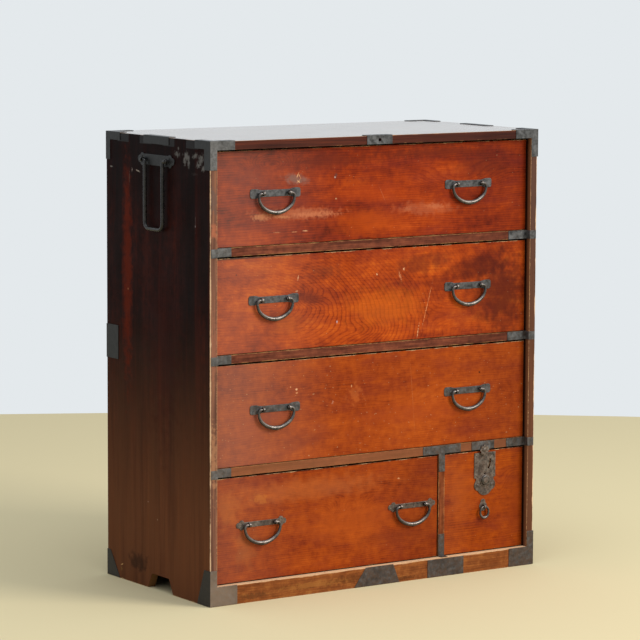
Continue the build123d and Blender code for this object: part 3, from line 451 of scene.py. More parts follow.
def forge_carrying_handle():
    """A carrying handle about Y through the origin, hanging down."""
    handle = begin("carrying_handle", "circle", vertices=12, radius=CARRY_HEAD / 2, fill_type="NGON",
                   location=(0, -CARRY_TIP, 0), rotation=(math.pi / 2, 0, 0))
    smith = Smith((0, -CARRY_TIP, 0), 0, (0, 1, 0), (0, 0, 1))
    smith.straight(HEAD_LENGTH)
    smith.shoulder(CARRY_END / CARRY_HEAD)
    smith.straight(CARRY_TIP - HEAD_LENGTH - CARRY_HALF_WIDTH - CARRY_TOP_BEND)
    swell = (CARRY_BAR / CARRY_END) ** (1 / 5)
    smith.bend(CARRY_TOP_BEND, -90, 5, swell)
    leg = CARRY_DROP - CARRY_TOP_BEND - CARRY_CORNER
    for _ in range(4):
        smith.straight(leg / 4)
    smith.bend(CARRY_CORNER, 90, 6)
    smith.straight(CARRY_HALF_WIDTH - CARRY_CORNER)
    smith.straight(CARRY_HALF_WIDTH - CARRY_CORNER)
    smith.bend(CARRY_CORNER, 90, 6)
    for _ in range(4):
        smith.straight(leg / 4)
    smith.bend(CARRY_TOP_BEND, -90, 5, 1 / swell)
    smith.straight(CARRY_TIP - HEAD_LENGTH - CARRY_HALF_WIDTH - CARRY_TOP_BEND)
    smith.shoulder(CARRY_HEAD / CARRY_END)
    smith.straight(HEAD_LENGTH)
    close(handle)
    apply_modifier(handle, "SUBSURF", levels=1, render_levels=1)
    smooth(handle, 60)
    return handle


handle = forge_carrying_handle()
for side in ("left", "right"):
    node = f"{side}_carrying_handle"
    piece = copy_to(handle, node + "_bar", pivots[node + "_swing"])
    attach(piece, node)
    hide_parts(node)
bpy.data.objects.remove(handle)
print("carrying handles", round(CARRY_DROP / MM), "mm long, of", len(piece.data.polygons), "faces")


# %% [markdown]
# ## Split pins
# A bail hangs in two split pins. Each is a strip of iron bent round into an eye, with both ends pushed
# through the wood and clenched over behind. A small face the size of the strip's section is drawn along the
# whole of that path: up one leg, round the eye and back down the other.

# %% Split pins
def forge_split_pin(name, width, thickness, eye, reach, leg):
    """A split pin whose eye turns about X at the origin, its legs along +Y and clenched up and down."""
    bend = 0.55 * thickness
    neck = thickness / 2
    lip = 1.0 * MM
    ring = eye - thickness / 2
    lift = neck + lip
    back = math.sqrt((ring + lip) ** 2 - lift ** 2)
    opening = math.degrees(math.asin(lift / (ring + lip)))
    start = (0, reach + thickness / 2, leg)
    pin = begin(name, "plane", size=1, location=start)
    bpy.ops.transform.resize(value=(width, thickness, 1))
    smith = Smith(start, -90, (0, 1, 0), (0, 0, 1))
    smith.straight(leg - neck - bend)
    smith.bend(bend, -90, 3)
    smith.straight(reach + thickness / 2 - bend - back)
    smith.bend(lip, -(90 - opening), 4)
    smith.bend(ring, 360 - 2 * opening, 20)
    smith.bend(lip, -(90 - opening), 4)
    smith.straight(reach + thickness / 2 - bend - back)
    smith.bend(bend, -90, 3)
    smith.straight(leg - neck - bend)
    close(pin, 0.001 * MM)
    apply_modifier(pin, "BEVEL", width=0.3 * MM, segments=2, limit_method="ANGLE",
                   angle_limit=math.radians(50))
    smooth(pin, 40)
    return pin


# %% Pins in the drawer fronts
STRIP_WIDTH = 5.0 * MM
STRIP_THICKNESS = 1.7 * MM
EYE_RADIUS = 5.2 * MM
PIN_SPREAD = 68.0 * MM
LEG_REACH = 13.0 * MM
front_low, front_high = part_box("drawer_1_front")
drawer_face = front_low.y
FRONT_THICKNESS = front_high.y - drawer_face
PIVOT_STANDOFF = drawer_face - pivots["drawer_1_left_handle_swing"].y
pin = forge_split_pin("split_pin", STRIP_WIDTH, STRIP_THICKNESS, EYE_RADIUS,
                      PIVOT_STANDOFF + FRONT_THICKNESS, LEG_REACH)
for number in (1, 2, 3, 4):
    pins = []
    for side in ("left", "right"):
        pivot = pivots[f"drawer_{number}_{side}_handle_swing"]
        for way in (-1, 1):
            pins.append(copy_to(pin, "pin", pivot + Vector((way * PIN_SPREAD / 2, 0, 0))))
    piece = weld(pins, f"drawer_{number}_split_pins")
    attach(piece, f"drawer_{number}")
    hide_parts(f"drawer_{number}_handle_pins")
print("a split pin has", len(pin.data.polygons), "faces")

# %% Pins in the sides, turned to go in from the side and mirrored for the right
CARRY_PIN_SPREAD = 98.0 * MM
CARRY_STRIP_WIDTH = 5.0 * MM
CARRY_STRIP_THICKNESS = 1.8 * MM
CARRY_EYE_RADIUS = 5.4 * MM
CARRY_STANDOFF = LEFT - pivots["left_carrying_handle_swing"].x
SIDE_THICKNESS = case_high.x - case_low.x
CARRY_LEG_REACH = 16.0 * MM
big_pin = forge_split_pin("carry_pin", CARRY_STRIP_WIDTH, CARRY_STRIP_THICKNESS, CARRY_EYE_RADIUS,
                          CARRY_STANDOFF + SIDE_THICKNESS - CARRY_STRIP_THICKNESS, CARRY_LEG_REACH)
settle(big_pin, turn=(0, 0, -math.pi / 2))
pins = []
for way in (-1, 1):
    place = pivots["left_carrying_handle_swing"] + Vector((0, way * CARRY_PIN_SPREAD / 2, 0))
    pins.append(copy_to(big_pin, "pin", place))
pins += [copy_to(one, "pin", (0, 0, 0), mirrored=True) for one in list(pins)]
piece = weld(pins, "carrying_split_pins")
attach(piece, "case")
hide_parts("side_handle_pins")
for used in (pin, big_pin):
    bpy.data.objects.remove(used)
print("the carrying handles hang in", len(pins), "pins")


# %% [markdown]
# ## Back plates for the drawer handles
# The plates were cut from sheet iron with a chisel and their edges filed round. The plain ones start as a
# narrow plane: its two end edges are drawn outwards into the spades, the spade's corners are rounded as
# points, and only then is the sheet given its thickness.

# %% Picking parts of a mesh
def pick(piece, kind, test):
    """Selects the vertices, edges or faces of a piece whose middle passes a test."""
    bpy.ops.mesh.select_mode(type=kind)
    bpy.ops.mesh.select_all(action="DESELECT")
    bpy.ops.object.mode_set(mode="OBJECT")
    mesh = piece.data
    for part in {"VERT": mesh.vertices, "EDGE": mesh.edges, "FACE": mesh.polygons}[kind]:
        corners = [part.index] if kind == "VERT" else list(part.vertices)
        middle = sum((mesh.vertices[i].co for i in corners), Vector()) / len(corners)
        part.select = bool(test(middle))
    bpy.ops.object.mode_set(mode="EDIT")


def filed_edges(piece, width=0.35 * MM, angle=50):
    """Rounds every edge sharper than an angle, as a file does."""
    apply_modifier(piece, "BEVEL", width=width, segments=2, limit_method="ANGLE",
                   angle_limit=math.radians(angle))
    smooth(piece, 20)
    return piece


def turn_sheet(piece, thickness, filed=0.35 * MM):
    """Gives a flat outline in edit mode its thickness towards the front, and files its edges round."""
    bpy.ops.mesh.select_all(action="SELECT")
    bpy.ops.mesh.extrude_region_move(TRANSFORM_OT_translate={"value": (0, -thickness, 0)})
    close(piece, 0.001 * MM)
    return filed_edges(piece, filed, 40)


# %% The spade-ended plates of drawers 1 to 3
PLATE_HALF = 65.0 * MM
PLATE_WAIST = 15.0 * MM
SPADE_LENGTH = 19.0 * MM
SPADE_FLARE = 8.0 * MM
SPADE_HEIGHT = 20.5 * MM
SPADE_CORNER = 5.5 * MM
SHEET = 1.6 * MM


def forge_spade_plate():
    """A back plate in the XZ plane about the origin, as thick as the sheet towards -Y."""
    neck = PLATE_HALF - SPADE_LENGTH - SPADE_FLARE
    plate = begin("spade_plate", "plane", size=1, rotation=(math.pi / 2, 0, 0))
    bpy.ops.transform.resize(value=(2 * neck, 1, PLATE_WAIST))
    reached, tall = neck, PLATE_WAIST
    for reach, height in ((PLATE_HALF - SPADE_LENGTH, SPADE_HEIGHT), (PLATE_HALF, SPADE_HEIGHT)):
        pick(plate, "EDGE", lambda middle: abs(middle.x) > reached - 0.1 * MM)
        bpy.ops.mesh.extrude_region_move(TRANSFORM_OT_translate={"value": (0, 0, 0)})
        bpy.ops.transform.resize(value=(reach / reached, 1, height / tall), center_override=(0, 0, 0))
        reached, tall = reach, height
    pick(plate, "VERT", lambda middle: abs(middle.x) > PLATE_HALF - 0.1 * MM)
    bpy.ops.mesh.bevel(offset=SPADE_CORNER, segments=5, affect="VERTICES")
    for bend, round_off in ((PLATE_HALF - SPADE_LENGTH, 5 * MM), (neck, 3 * MM)):
        pick(plate, "VERT", lambda middle: abs(abs(middle.x) - bend) < 0.1 * MM)
        bpy.ops.mesh.bevel(offset=round_off, segments=3, affect="VERTICES")
    return turn_sheet(plate, SHEET)


spade_plate = forge_spade_plate()
print("a spade plate has", len(spade_plate.data.polygons), "faces and measures",
      [round(value / MM, 1) for value in spade_plate.dimensions], "mm")


# %% [markdown]
# ## Cloud-ended plates
# The plates of the lowest drawer and of the carrying handles end in a cloud of three lobes. Here the smith's
# moves draw an outline instead of a bar: one vertex is spun round each lobe in turn, the closed outline is
# filled with a face, and the face becomes sheet. Each lobe carries a small punched hollow, the eye of the
# cloud, cut with a Boolean modifier.

# %% Drawing outlines, discs and cuts
def draw(name, start, heading):
    """A single vertex, ready to be drawn along an outline in the XZ plane."""
    piece = begin(name, "plane", size=1, location=start)
    bpy.ops.mesh.merge(type="CENTER")
    bpy.ops.mesh.select_mode(type="VERT")
    bpy.ops.mesh.select_all(action="SELECT")
    return piece, Smith(start, heading, (1, 0, 0), (0, 0, 1))


def fill_outline():
    """Closes a drawn outline and fills it with one face."""
    bpy.ops.mesh.select_all(action="SELECT")
    bpy.ops.mesh.remove_doubles(threshold=0.02 * MM)
    bpy.ops.mesh.edge_face_add()


def disc(name, radius, thickness, at, sides=28):
    """A disc in the XZ plane, rising towards -Y from the given place."""
    return close(begin(name, "cylinder", vertices=sides, radius=radius, depth=thickness,
                       location=Vector(at) + Vector((0, -thickness / 2, 0)), rotation=(math.pi / 2, 0, 0)))


def combine(base, others, operation="UNION"):
    """Joins other solids to a base, or cuts them out of it, and deletes what it has used."""
    for other in others:
        apply_modifier(base, "BOOLEAN", operation=operation, object=other, solver="EXACT")
        bpy.data.objects.remove(other)
    return base


# %% Cloud plates
def forge_cloud_plate(length, waist, lobe, thickness):
    """A back plate with three-lobed ends, in the XZ plane about the origin."""
    tip = length / 2 - lobe
    root = tip - 1.25 * lobe
    rise = 0.75 * lobe
    meet = math.degrees(math.asin((waist / 2 - rise) / lobe))
    junction = root - lobe * math.cos(math.radians(meet))
    half_way = math.hypot(tip - root, rise) / 2
    lean = math.degrees(math.atan2(rise, tip - root))
    spread = math.degrees(math.acos(half_way / lobe))
    tip_angle = 180 - lean - spread
    root_angle = spread - lean
    lobe_sweep = 180 - meet - root_angle
    plate, smith = draw("cloud_plate", (-junction, 0, -waist / 2), 0)
    for side in (0, 180):
        smith.heading = math.radians(side)
        smith.straight(2 * junction)
        for heading, sweep, steps in (
            (meet - 90, lobe_sweep, 12),
            (90 - tip_angle, 2 * tip_angle, 16),
            (90 + root_angle, lobe_sweep, 12),
        ):
            smith.heading = math.radians(side + heading)
            smith.bend(lobe, sweep, steps)
    fill_outline()
    turn_sheet(plate, thickness)
    eyes = [(side * tip, 0) for side in (-1, 1)]
    eyes += [(side * root, height * rise) for side in (-1, 1) for height in (-1, 1)]
    hollows = [disc("hollow", 0.26 * lobe, thickness, (x, -0.6 * thickness, z), 10) for x, z in eyes]
    combine(plate, hollows, "DIFFERENCE")
    smooth(plate, 20)
    return plate


# %% Back plates on the drawers
CLOUD_WAIST = 12 * MM
CLOUD_LOBE = 6.3 * MM
cloud_plate = forge_cloud_plate(2 * PLATE_HALF, CLOUD_WAIST, CLOUD_LOBE, SHEET)
print("a cloud plate has", len(cloud_plate.data.polygons), "faces")
for number in (1, 2, 3, 4):
    pattern = cloud_plate if number == 4 else spade_plate
    plates = []
    for side in ("left", "right"):
        pivot = pivots[f"drawer_{number}_{side}_handle_swing"]
        plates.append(copy_to(pattern, "plate", (pivot.x, drawer_face, pivot.z)))
    piece = weld(plates, f"drawer_{number}_back_plates")
    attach(piece, f"drawer_{number}")
    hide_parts(f"drawer_{number}_handle_plates")

# %% Back plates of the carrying handles
CARRY_PLATE_LENGTH = 152 * MM
CARRY_PLATE_WAIST = 24 * MM
CARRY_LOBE = 8.2 * MM
CARRY_SHEET = 2.0 * MM
carry_plate = forge_cloud_plate(CARRY_PLATE_LENGTH, CARRY_PLATE_WAIST, CARRY_LOBE, CARRY_SHEET)
pivot = pivots["left_carrying_handle_swing"]
settle(carry_plate, (LEFT, pivot.y, pivot.z), (0, 0, -math.pi / 2))
piece = weld([carry_plate, copy_to(carry_plate, "plate", (0, 0, 0), mirrored=True)], "carrying_back_plates")
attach(piece, "case")
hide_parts("side_handle_plates")
for used in (spade_plate, cloud_plate):
    bpy.data.objects.remove(used)
print("the two side plates have", len(piece.data.polygons), "faces")


# %% [markdown]
# ## The ring pull
# The small drawer has no bail but a ring on a teardrop plate. The ring is a bar spun a full turn, a little
# thinner where it runs through its eye, then stretched a little tall. The plate is drawn like the clouds: one
# wide arc round the body and a tight one over the tip, which meet where the two circles cross.

# %% Ring
RING_RADIUS = 11.8 * MM
RING_BAR = 5.0 * MM
RING_STRETCH = 1.1
RING_SWELL = 1.3
RING_EYE = 5.0 * MM
pivot = pivots["pull_ring_swing"]
RING_STANDOFF = drawer_face - pivot.y
ring = begin("pull_ring_bar", "circle", vertices=12, radius=0.46 * RING_BAR, fill_type="NOTHING",
             rotation=(0, math.pi / 2, 0))
smith = Smith((0, 0, 0), 0, (1, 0, 0), (0, 0, 1))
swell = RING_SWELL ** (1 / 14)
smith.bend(RING_RADIUS, -180, 14, swell)
smith.bend(RING_RADIUS, -180, 14, 1 / swell)
close(ring, 0.02 * MM)
settle(ring, pivot, size=(1.0, 1.0, RING_STRETCH))
smooth(ring, 60)
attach(ring, "pull_ring")
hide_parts("pull_ring")
print("the ring is", round(2 * RING_RADIUS / MM, 1), "mm wide over the middle of its bar")

# %% Teardrop plate and its pin
# two circles, the tip's centred on the top of the body's: across and reach say where they cross
BODY = 10.6 * MM
TEARDROP_TIP = 6.6 * MM
reach = BODY - TEARDROP_TIP ** 2 / (2 * BODY)
across = math.sqrt(BODY ** 2 - reach ** 2)
body_angle = math.degrees(math.atan2(reach, across))
tip_angle = math.degrees(math.atan2(reach - BODY, across))
teardrop, smith = draw("ring_back_plate", (-across, 0, reach), 270 - body_angle)
smith.bend(BODY, 180 + 2 * body_angle, 28)
smith.heading = math.radians(90 + tip_angle)
smith.bend(TEARDROP_TIP, 180 - 2 * tip_angle, 12)
fill_outline()
turn_sheet(teardrop, SHEET, 0.4 * MM)
settle(teardrop, (pivot.x, drawer_face, pivot.z))
ring_pin = forge_split_pin("ring_pin", STRIP_WIDTH, STRIP_THICKNESS, RING_EYE,
                           RING_STANDOFF + FRONT_THICKNESS, LEG_REACH)
piece = weld([teardrop, copy_to(ring_pin, "pin", pivot)], "ring_mount_forged")
bpy.data.objects.remove(ring_pin)
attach(piece, "safe_drawer")
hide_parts("ring_mount")
print("its plate and pin have", len(piece.data.polygons), "faces")


# %% [markdown]
# ## The lock
# A lock plate is the smith's show piece. It is cut out with three lobes at the foot. It has a rosette as a
# cap over the strike, rivets in its lobes and near its corners, a ridge, a curved keyhole, and the round
# thumb knob that throws the bolt. Its outline is a block united with a neck and three discs, because a
# Boolean modifier needs no edge drawn by hand.

# %% Lock plate
lock_low, lock_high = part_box("lock_plate")
LOCK_X = (lock_low.x + lock_high.x) / 2
LOCK_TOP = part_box("safe_drawer_front")[1].z - 4 * MM
LOCK_WIDTH = 59.5 * MM
LOCK_HEIGHT = 99 * MM
LOCK_SHEET = 2.0 * MM
LOCK_FOOT = LOCK_TOP - LOCK_HEIGHT
LOCK_BODY = 58 * MM
NECK_HALF = 25 * MM
TIP = 22 * MM
LOBE = 13 * MM


def block(name, x_low, x_high, y_low, y_high, z_low, z_high):
    """A block between two corners."""
    size = Vector((x_high - x_low, y_high - y_low, z_high - z_low))
    middle = Vector((x_high + x_low, y_high + y_low, z_high + z_low)) / 2
    piece = begin(name, "cube", size=1, location=middle)
    bpy.ops.transform.resize(value=size, center_override=middle)
    return close(piece)


lock_face = drawer_face - LOCK_SHEET
tip_z = LOCK_FOOT + TIP
lobe_z = tip_z + 2 * MM
plate = block("lock_front", LOCK_X - LOCK_WIDTH / 2, LOCK_X + LOCK_WIDTH / 2, lock_face, drawer_face,
              LOCK_TOP - LOCK_BODY, LOCK_TOP)
parts = [block("neck", LOCK_X - NECK_HALF, LOCK_X + NECK_HALF, lock_face, drawer_face,
               tip_z, LOCK_TOP - LOCK_BODY + MM)]
parts.append(disc("tip", TIP, LOCK_SHEET, (LOCK_X, drawer_face, tip_z), 40))
for side in (-1, 1):
    place = (LOCK_X + side * (LOCK_WIDTH / 2 - LOBE), drawer_face, lobe_z)
    parts.append(disc("lobe", LOBE, LOCK_SHEET, place, 32))
combine(plate, parts)
print("lock plate outline united,", len(plate.data.polygons), "faces")

# %% Keyhole and the slot behind the knob
KEY_X = LOCK_X + 14 * MM
KEY_Z = LOCK_TOP - 27 * MM
KEY_WIDTH = 4.6 * MM
KEY_DEPTH = 6 * MM
KEY_ARC = 30 * MM
KEY_SWEEP = 46.0
KEY_LEAN = 37.0
hole = begin("keyhole", "plane", size=1, location=(0, 0, 0))
bpy.ops.transform.resize(value=(KEY_WIDTH, KEY_DEPTH, 1))
smith = Smith((0, 0, 0), 90, (1, 0, 0), (0, 0, 1))
smith.bend(KEY_ARC, KEY_SWEEP, 10)
close(hole, 0.001 * MM)
half_sweep = math.radians(KEY_SWEEP / 2)
lean = Euler((0, math.radians(KEY_LEAN), 0))
arc_middle = Vector((-KEY_ARC + KEY_ARC * math.cos(half_sweep), 0, KEY_ARC * math.sin(half_sweep)))
arc_middle.rotate(lean)
settle(hole, Vector((KEY_X, drawer_face - LOCK_SHEET / 2, KEY_Z)) - arc_middle, lean)
SLOT_HALF = 3.4 * MM
SLOT_LOW = LOCK_TOP - 68.4 * MM
SLOT_HIGH = LOCK_TOP - 47.6 * MM
slot = block("slot", LOCK_X - SLOT_HALF, LOCK_X + SLOT_HALF, lock_face - MM, drawer_face + MM,
             SLOT_LOW, SLOT_HIGH)
combine(plate, [hole, slot], "DIFFERENCE")
filed_edges(plate, 0.5 * MM)
print("keyhole", round(KEY_WIDTH / MM, 1), "mm wide, slot", round((SLOT_HIGH - SLOT_LOW) / MM, 1), "mm long")

# %% Rivets and the ridge
def rivet(radius, height, at, sides=10):
    """A rivet head: a disc whose face is drawn up and in twice, into a low dome."""
    head = begin("rivet", "cylinder", vertices=sides, radius=radius, depth=height / 2,
                 location=Vector(at) + Vector((0, -height / 4, 0)), rotation=(math.pi / 2, 0, 0))
    pick(head, "FACE", lambda middle: middle.y < at[1] - 0.45 * height)
    for drawn, lift in ((0.8, 0.32), (0.62, 0.18)):
        bpy.ops.mesh.extrude_region_move(TRANSFORM_OT_translate={"value": (0, -lift * height, 0)})
        bpy.ops.transform.resize(value=(drawn, 1, drawn))
    close(head)
    smooth(head, 60)
    return head


trim = []
for side in (-1, 1):
    lobe_x = LOCK_X + side * (LOCK_WIDTH / 2 - LOBE + 3 * MM)
    rim_x = LOCK_X + side * (LOCK_WIDTH / 2 - 5 * MM)
    trim.append(rivet(3.4 * MM, 1.1 * MM, (lobe_x, lock_face, lobe_z), 16))
    trim.append(rivet(1.9 * MM, 1.9 * MM, (lobe_x, lock_face - 0.4 * MM, lobe_z)))
    for below_top in (52 * MM, 6 * MM):
        trim.append(rivet(1.7 * MM, 1.4 * MM, (rim_x, lock_face, LOCK_TOP - below_top)))
trim.append(rivet(1.9 * MM, 1.5 * MM, (LOCK_X, lock_face, LOCK_FOOT + 7 * MM)))
ridge_x = LOCK_X + LOCK_WIDTH / 2 - 10 * MM
ridge = block("ridge", ridge_x - 1.1 * MM, ridge_x + 1.1 * MM, lock_face - 0.9 * MM, lock_face + 0.5 * MM,
              LOCK_TOP - 48 * MM, LOCK_TOP - 8 * MM)
filed_edges(ridge, 0.6 * MM)
print(len(trim), "rivet heads on the plate")

# %% The cap over the strike
# it hangs over the rail's strike plate, on a foot that stands on the lock plate
CAP_X = LOCK_X - 4.5 * MM
CAP_Z = LOCK_TOP + 6.5 * MM
CAP_THICKNESS = 2.2 * MM
PETAL_RING = 9.0 * MM
cap_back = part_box("drawer_rails")[0].y - 1.7 * MM
cap_foot = disc("cap_foot", 10.6 * MM, lock_face - cap_back + 1.2 * MM, (CAP_X, lock_face + MM, CAP_Z), 28)
cut = block("cut", CAP_X - 20 * MM, CAP_X + 20 * MM, cap_back, drawer_face, LOCK_TOP, CAP_Z + 20 * MM)
combine(cap_foot, [cut], "DIFFERENCE")
rosette = disc("rosette", 9.8 * MM, CAP_THICKNESS, (CAP_X, cap_back, CAP_Z), 28)
petals = []
for number in range(8):
    angle = math.radians(45 * number)
    place = (CAP_X + PETAL_RING * math.cos(angle), cap_back, CAP_Z + PETAL_RING * math.sin(angle))
    petals.append(disc("petal", 3.7 * MM, CAP_THICKNESS, place, 12))
combine(rosette, petals)
filed_edges(rosette, 0.5 * MM)
DOME_RING = 8.8 * MM
for number in range(8):
    angle = math.radians(45 * number)
    place = (CAP_X + DOME_RING * math.cos(angle), cap_back - 2.1 * MM, CAP_Z + DOME_RING * math.sin(angle))
    trim.append(rivet(1.5 * MM, 0.9 * MM, place, 8))
trim.append(rivet(4.6 * MM, 1.5 * MM, (CAP_X, cap_back - 2.1 * MM, CAP_Z), 20))
piece = weld([plate, ridge, cap_foot, rosette] + trim, "lock_front_plate")
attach(piece, "safe_drawer")
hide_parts("lock_plate")
print("the lock front has", len(piece.data.polygons), "faces")

# %% [markdown]
# ## The thumb knob
# The knob is round and slides with the bolt. It could be spun from a profile, but its steps are few: the
# front face of a thin cylinder is drawn in, out and back, first for a raised ring near the rim and then for
# the boss, and a Boolean cuts the notch.

# %% Thumb knob
KNOB_Z = LOCK_TOP - 64 * MM
KNOB_RADIUS = 14.2 * MM
FLANGE = 1.3 * MM
knob_back = lock_face - 0.35 * MM
knob = begin("thumb_knob", "cylinder", vertices=36, radius=KNOB_RADIUS, depth=FLANGE,
             location=(LOCK_X, knob_back - FLANGE / 2, KNOB_Z), rotation=(math.pi / 2, 0, 0))
pick(knob, "FACE", lambda middle: middle.y < knob_back - 0.9 * FLANGE)
raised_ring = ((0.96, 0.4), (0.9, 0.0), (0.96, -0.4), (0.82, 0.0))
boss = ((0.97, 1.9), (0.9, 0.8), (0.86, 0.5), (0.7, 0.4))
for drawn, lift in raised_ring + boss:
    bpy.ops.mesh.extrude_region_move(TRANSFORM_OT_translate={"value": (0, -lift * MM, 0)})
    bpy.ops.transform.resize(value=(drawn, 1, drawn))
close(knob)
notch = block("notch", -1.5 * MM, 1.5 * MM, knob_back - 4 * MM, knob_back + MM, -5.5 * MM, 5.5 * MM)
settle(notch, (LOCK_X - 8.6 * MM, 0, KNOB_Z - 5.5 * MM), (0, math.radians(-32), 0))
combine(knob, [notch], "DIFFERENCE")
smooth(knob, 40)
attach(knob, "lock_bolt")
print("the thumb knob is", round(2 * KNOB_RADIUS / MM, 1), "mm wide")


# %% [markdown]
# ## Wood under lacquer
# The chest is of softwood boards, stained and rubbed with red-brown lacquer until the figure shows through.
# A board's figure is a cut through its growth rings. So the shader takes the height across the board, bends
# it with slow noise, heaps it up where a knot was near, and divides it by the ring spacing. Each unit of the
# result is one year's ring and holds one dark line of latewood. Fine fibres run along the grain, and the
# marks of use lie over everything.

# %% Places in millimetres, and streaks along the grain
# a Mix node has sockets for every kind of data: its colours go in at 6 and 7 and come out at 2
UNDER, OVER = 6, 7
COLOURS = {"out": 2, "data_type": "RGBA"}
ACROSS = {"X": (0, 0.7, 1), "Z": (0.7, 1, 0), "Y": (1, 0, 0.7), "TOP": (0, 1, 0.7)}


def place_in_mm(tree):
    """Object coordinates in millimetres; they stay with a drawer when it slides."""
    place = add(tree, "TexCoord", out="Object")
    return add(tree, "VectorMath", {0: place, "Scale": 1000}, operation="SCALE")


def streaks(tree, place, grain, along, across, detail=3.0, seed=0.0):
    """Noise drawn out along the grain, 0 to 1; along and across are its sizes in mm."""
    scale = [1 / across] * 3
    scale["XYZ".index(grain)] = 1 / along
    squeezed = add(tree, "VectorMath", (place, scale, (seed, 2.3 * seed, 3.7 * seed)),
                   operation="MULTIPLY_ADD")
    return add(tree, "TexNoise", {"Vector": squeezed, "Scale": 1.0, "Detail": detail, "Roughness": 0.6})


# %% A mark's shape
def spot(tree, place, middle, size, turn=0.0, ragged=0.35, rough_size=9.0, soft=0.8, about=1):
    """How much of a mark is at each place: an ellipsoid with a ragged, soft edge, turned about one axis."""
    turned = [0.0, 0.0, 0.0]
    turned[about] = math.radians(turn)
    local = add(tree, "Mapping", {"Vector": place, "Location": middle, "Rotation": turned, "Scale": size},
                vector_type="TEXTURE")
    away = add(tree, "VectorMath", (local,), out="Value", operation="LENGTH")
    if ragged:
        rough = add(tree, "TexNoise", {"Vector": place, "Scale": 1 / rough_size, "Detail": 3.0})
        rough = add(tree, "Math", (rough, 0.5), operation="SUBTRACT")
        away = add(tree, "Math", (rough, 4 * ragged, away), operation="MULTIPLY_ADD")
    return add(tree, "MapRange", {"Value": away, "From Min": 1.0, "From Max": 1.0 - soft},
               interpolation_type="SMOOTHSTEP")


# %% Growth rings
def tongue(tree, place, tip, slender=0.52, spread=0.17):
    """The figure of a board sawn near the bark: nested arcs beyond a tip, and lines that part behind it."""
    local = add(tree, "Mapping", {"Vector": place, "Location": (tip[0], 0, tip[1]),
                                  "Rotation": (0, math.radians(tip[2]), 0)}, vector_type="TEXTURE")
    axes = add(tree, "SeparateXYZ", (local,)).node.outputs
    past = add(tree, "Math", (axes["X"], slender), operation="MULTIPLY")
    past = add(tree, "Math", (past, 0.0), operation="MAXIMUM")
    behind = add(tree, "Math", (axes["X"], 0.0), operation="MINIMUM")
    away = add(tree, "CombineXYZ", (past, 0.0, axes["Z"]))
    away = add(tree, "VectorMath", (away,), out="Value", operation="LENGTH")
    return add(tree, "Math", (behind, spread, away), operation="MULTIPLY_ADD")


# darkness over one year: none in the spring wood, and rising through the summer to the latewood line
RING_PROFILE = ((0.0, "#404040"), (0.25, "#000000"), (0.62, "#6A6A6A"), (0.86, "#FFFFFF"), (1.0, "#404040"))


def growth_rings(tree, place, grain, across, ring, swirls=(), seed=0.0, waver=40.0, tip=None):
    """Dark lines of latewood, 0 to 1, heaped up at swirls (middle, size, height) or drawn round a tip."""
    bulge = streaks(tree, place, grain, 460, 130, 1.5, seed)
    if tip:
        height = tongue(tree, place, tip)
        waver = 0.5 * waver
    else:
        height = add(tree, "VectorMath", (place, across), out="Value", operation="DOT_PRODUCT")
    height = add(tree, "Math", (bulge, waver, height), operation="MULTIPLY_ADD")
    wobble = streaks(tree, place, grain, 60, 16, 2.0, seed + 5)
    height = add(tree, "Math", (wobble, 0.9 * ring, height), operation="MULTIPLY_ADD")
    for middle, size, rise in swirls:
        heap = spot(tree, place, middle, size, ragged=0, soft=1.0)
        height = add(tree, "Math", (heap, rise, height), operation="MULTIPLY_ADD")
    turn = add(tree, "Math", (height, 1 / ring), operation="MULTIPLY")
    turn = add(tree, "Math", (turn,), operation="FRACT")
    return add(tree, "ValToRGB", (turn,), stops=RING_PROFILE)


# %% Marks, worn edges and the finished surface
def marked(tree, under, place, marks, about=1):
    """Lays marks over a colour, each (middle, size, turn, hex colour, strength, raggedness)."""
    for middle, size, turn, code, strength, ragged in marks:
        rough_size = max(3.0, 0.55 * min(size))
        shape = spot(tree, place, middle, size, turn, ragged, rough_size, about=about)
        shape = add(tree, "Math", (shape, strength), operation="MULTIPLY")
        under = add(tree, "Mix", {0: shape, UNDER: under, OVER: colour(code)}, **COLOURS)
    return under


def distance_to(tree, axis, places):
    """Distance in mm from the nearest of several places along an axis."""
    nearest = 1000.0
    for place in places:
        away = add(tree, "Math", (axis, place), operation="SUBTRACT")
        away = add(tree, "Math", (away,), operation="ABSOLUTE")
        nearest = add(tree, "Math", (away, nearest), operation="MINIMUM")
    return nearest


def worn(tree, under, place, distance, width, code, chance=0.5, size=22.0):
    """Lacquer rubbed off along an edge: a line about as wide as given that comes and goes."""
    patchy = add(tree, "TexNoise", {"Vector": place, "Scale": 1 / size, "Detail": 4.0, "Roughness": 0.7})
    patchy = add(tree, "Math", (patchy, 1.0 - chance), operation="SUBTRACT")
    reach = add(tree, "Math", (patchy, 6 * width, width), operation="MULTIPLY_ADD")
    left = add(tree, "Math", (reach, distance), operation="SUBTRACT")
    factor = add(tree, "MapRange", {"Value": left, "From Min": 0.0, "From Max": 0.6 * width})
    return add(tree, "Mix", {0: factor, UNDER: under, OVER: colour(code)}, **COLOURS)


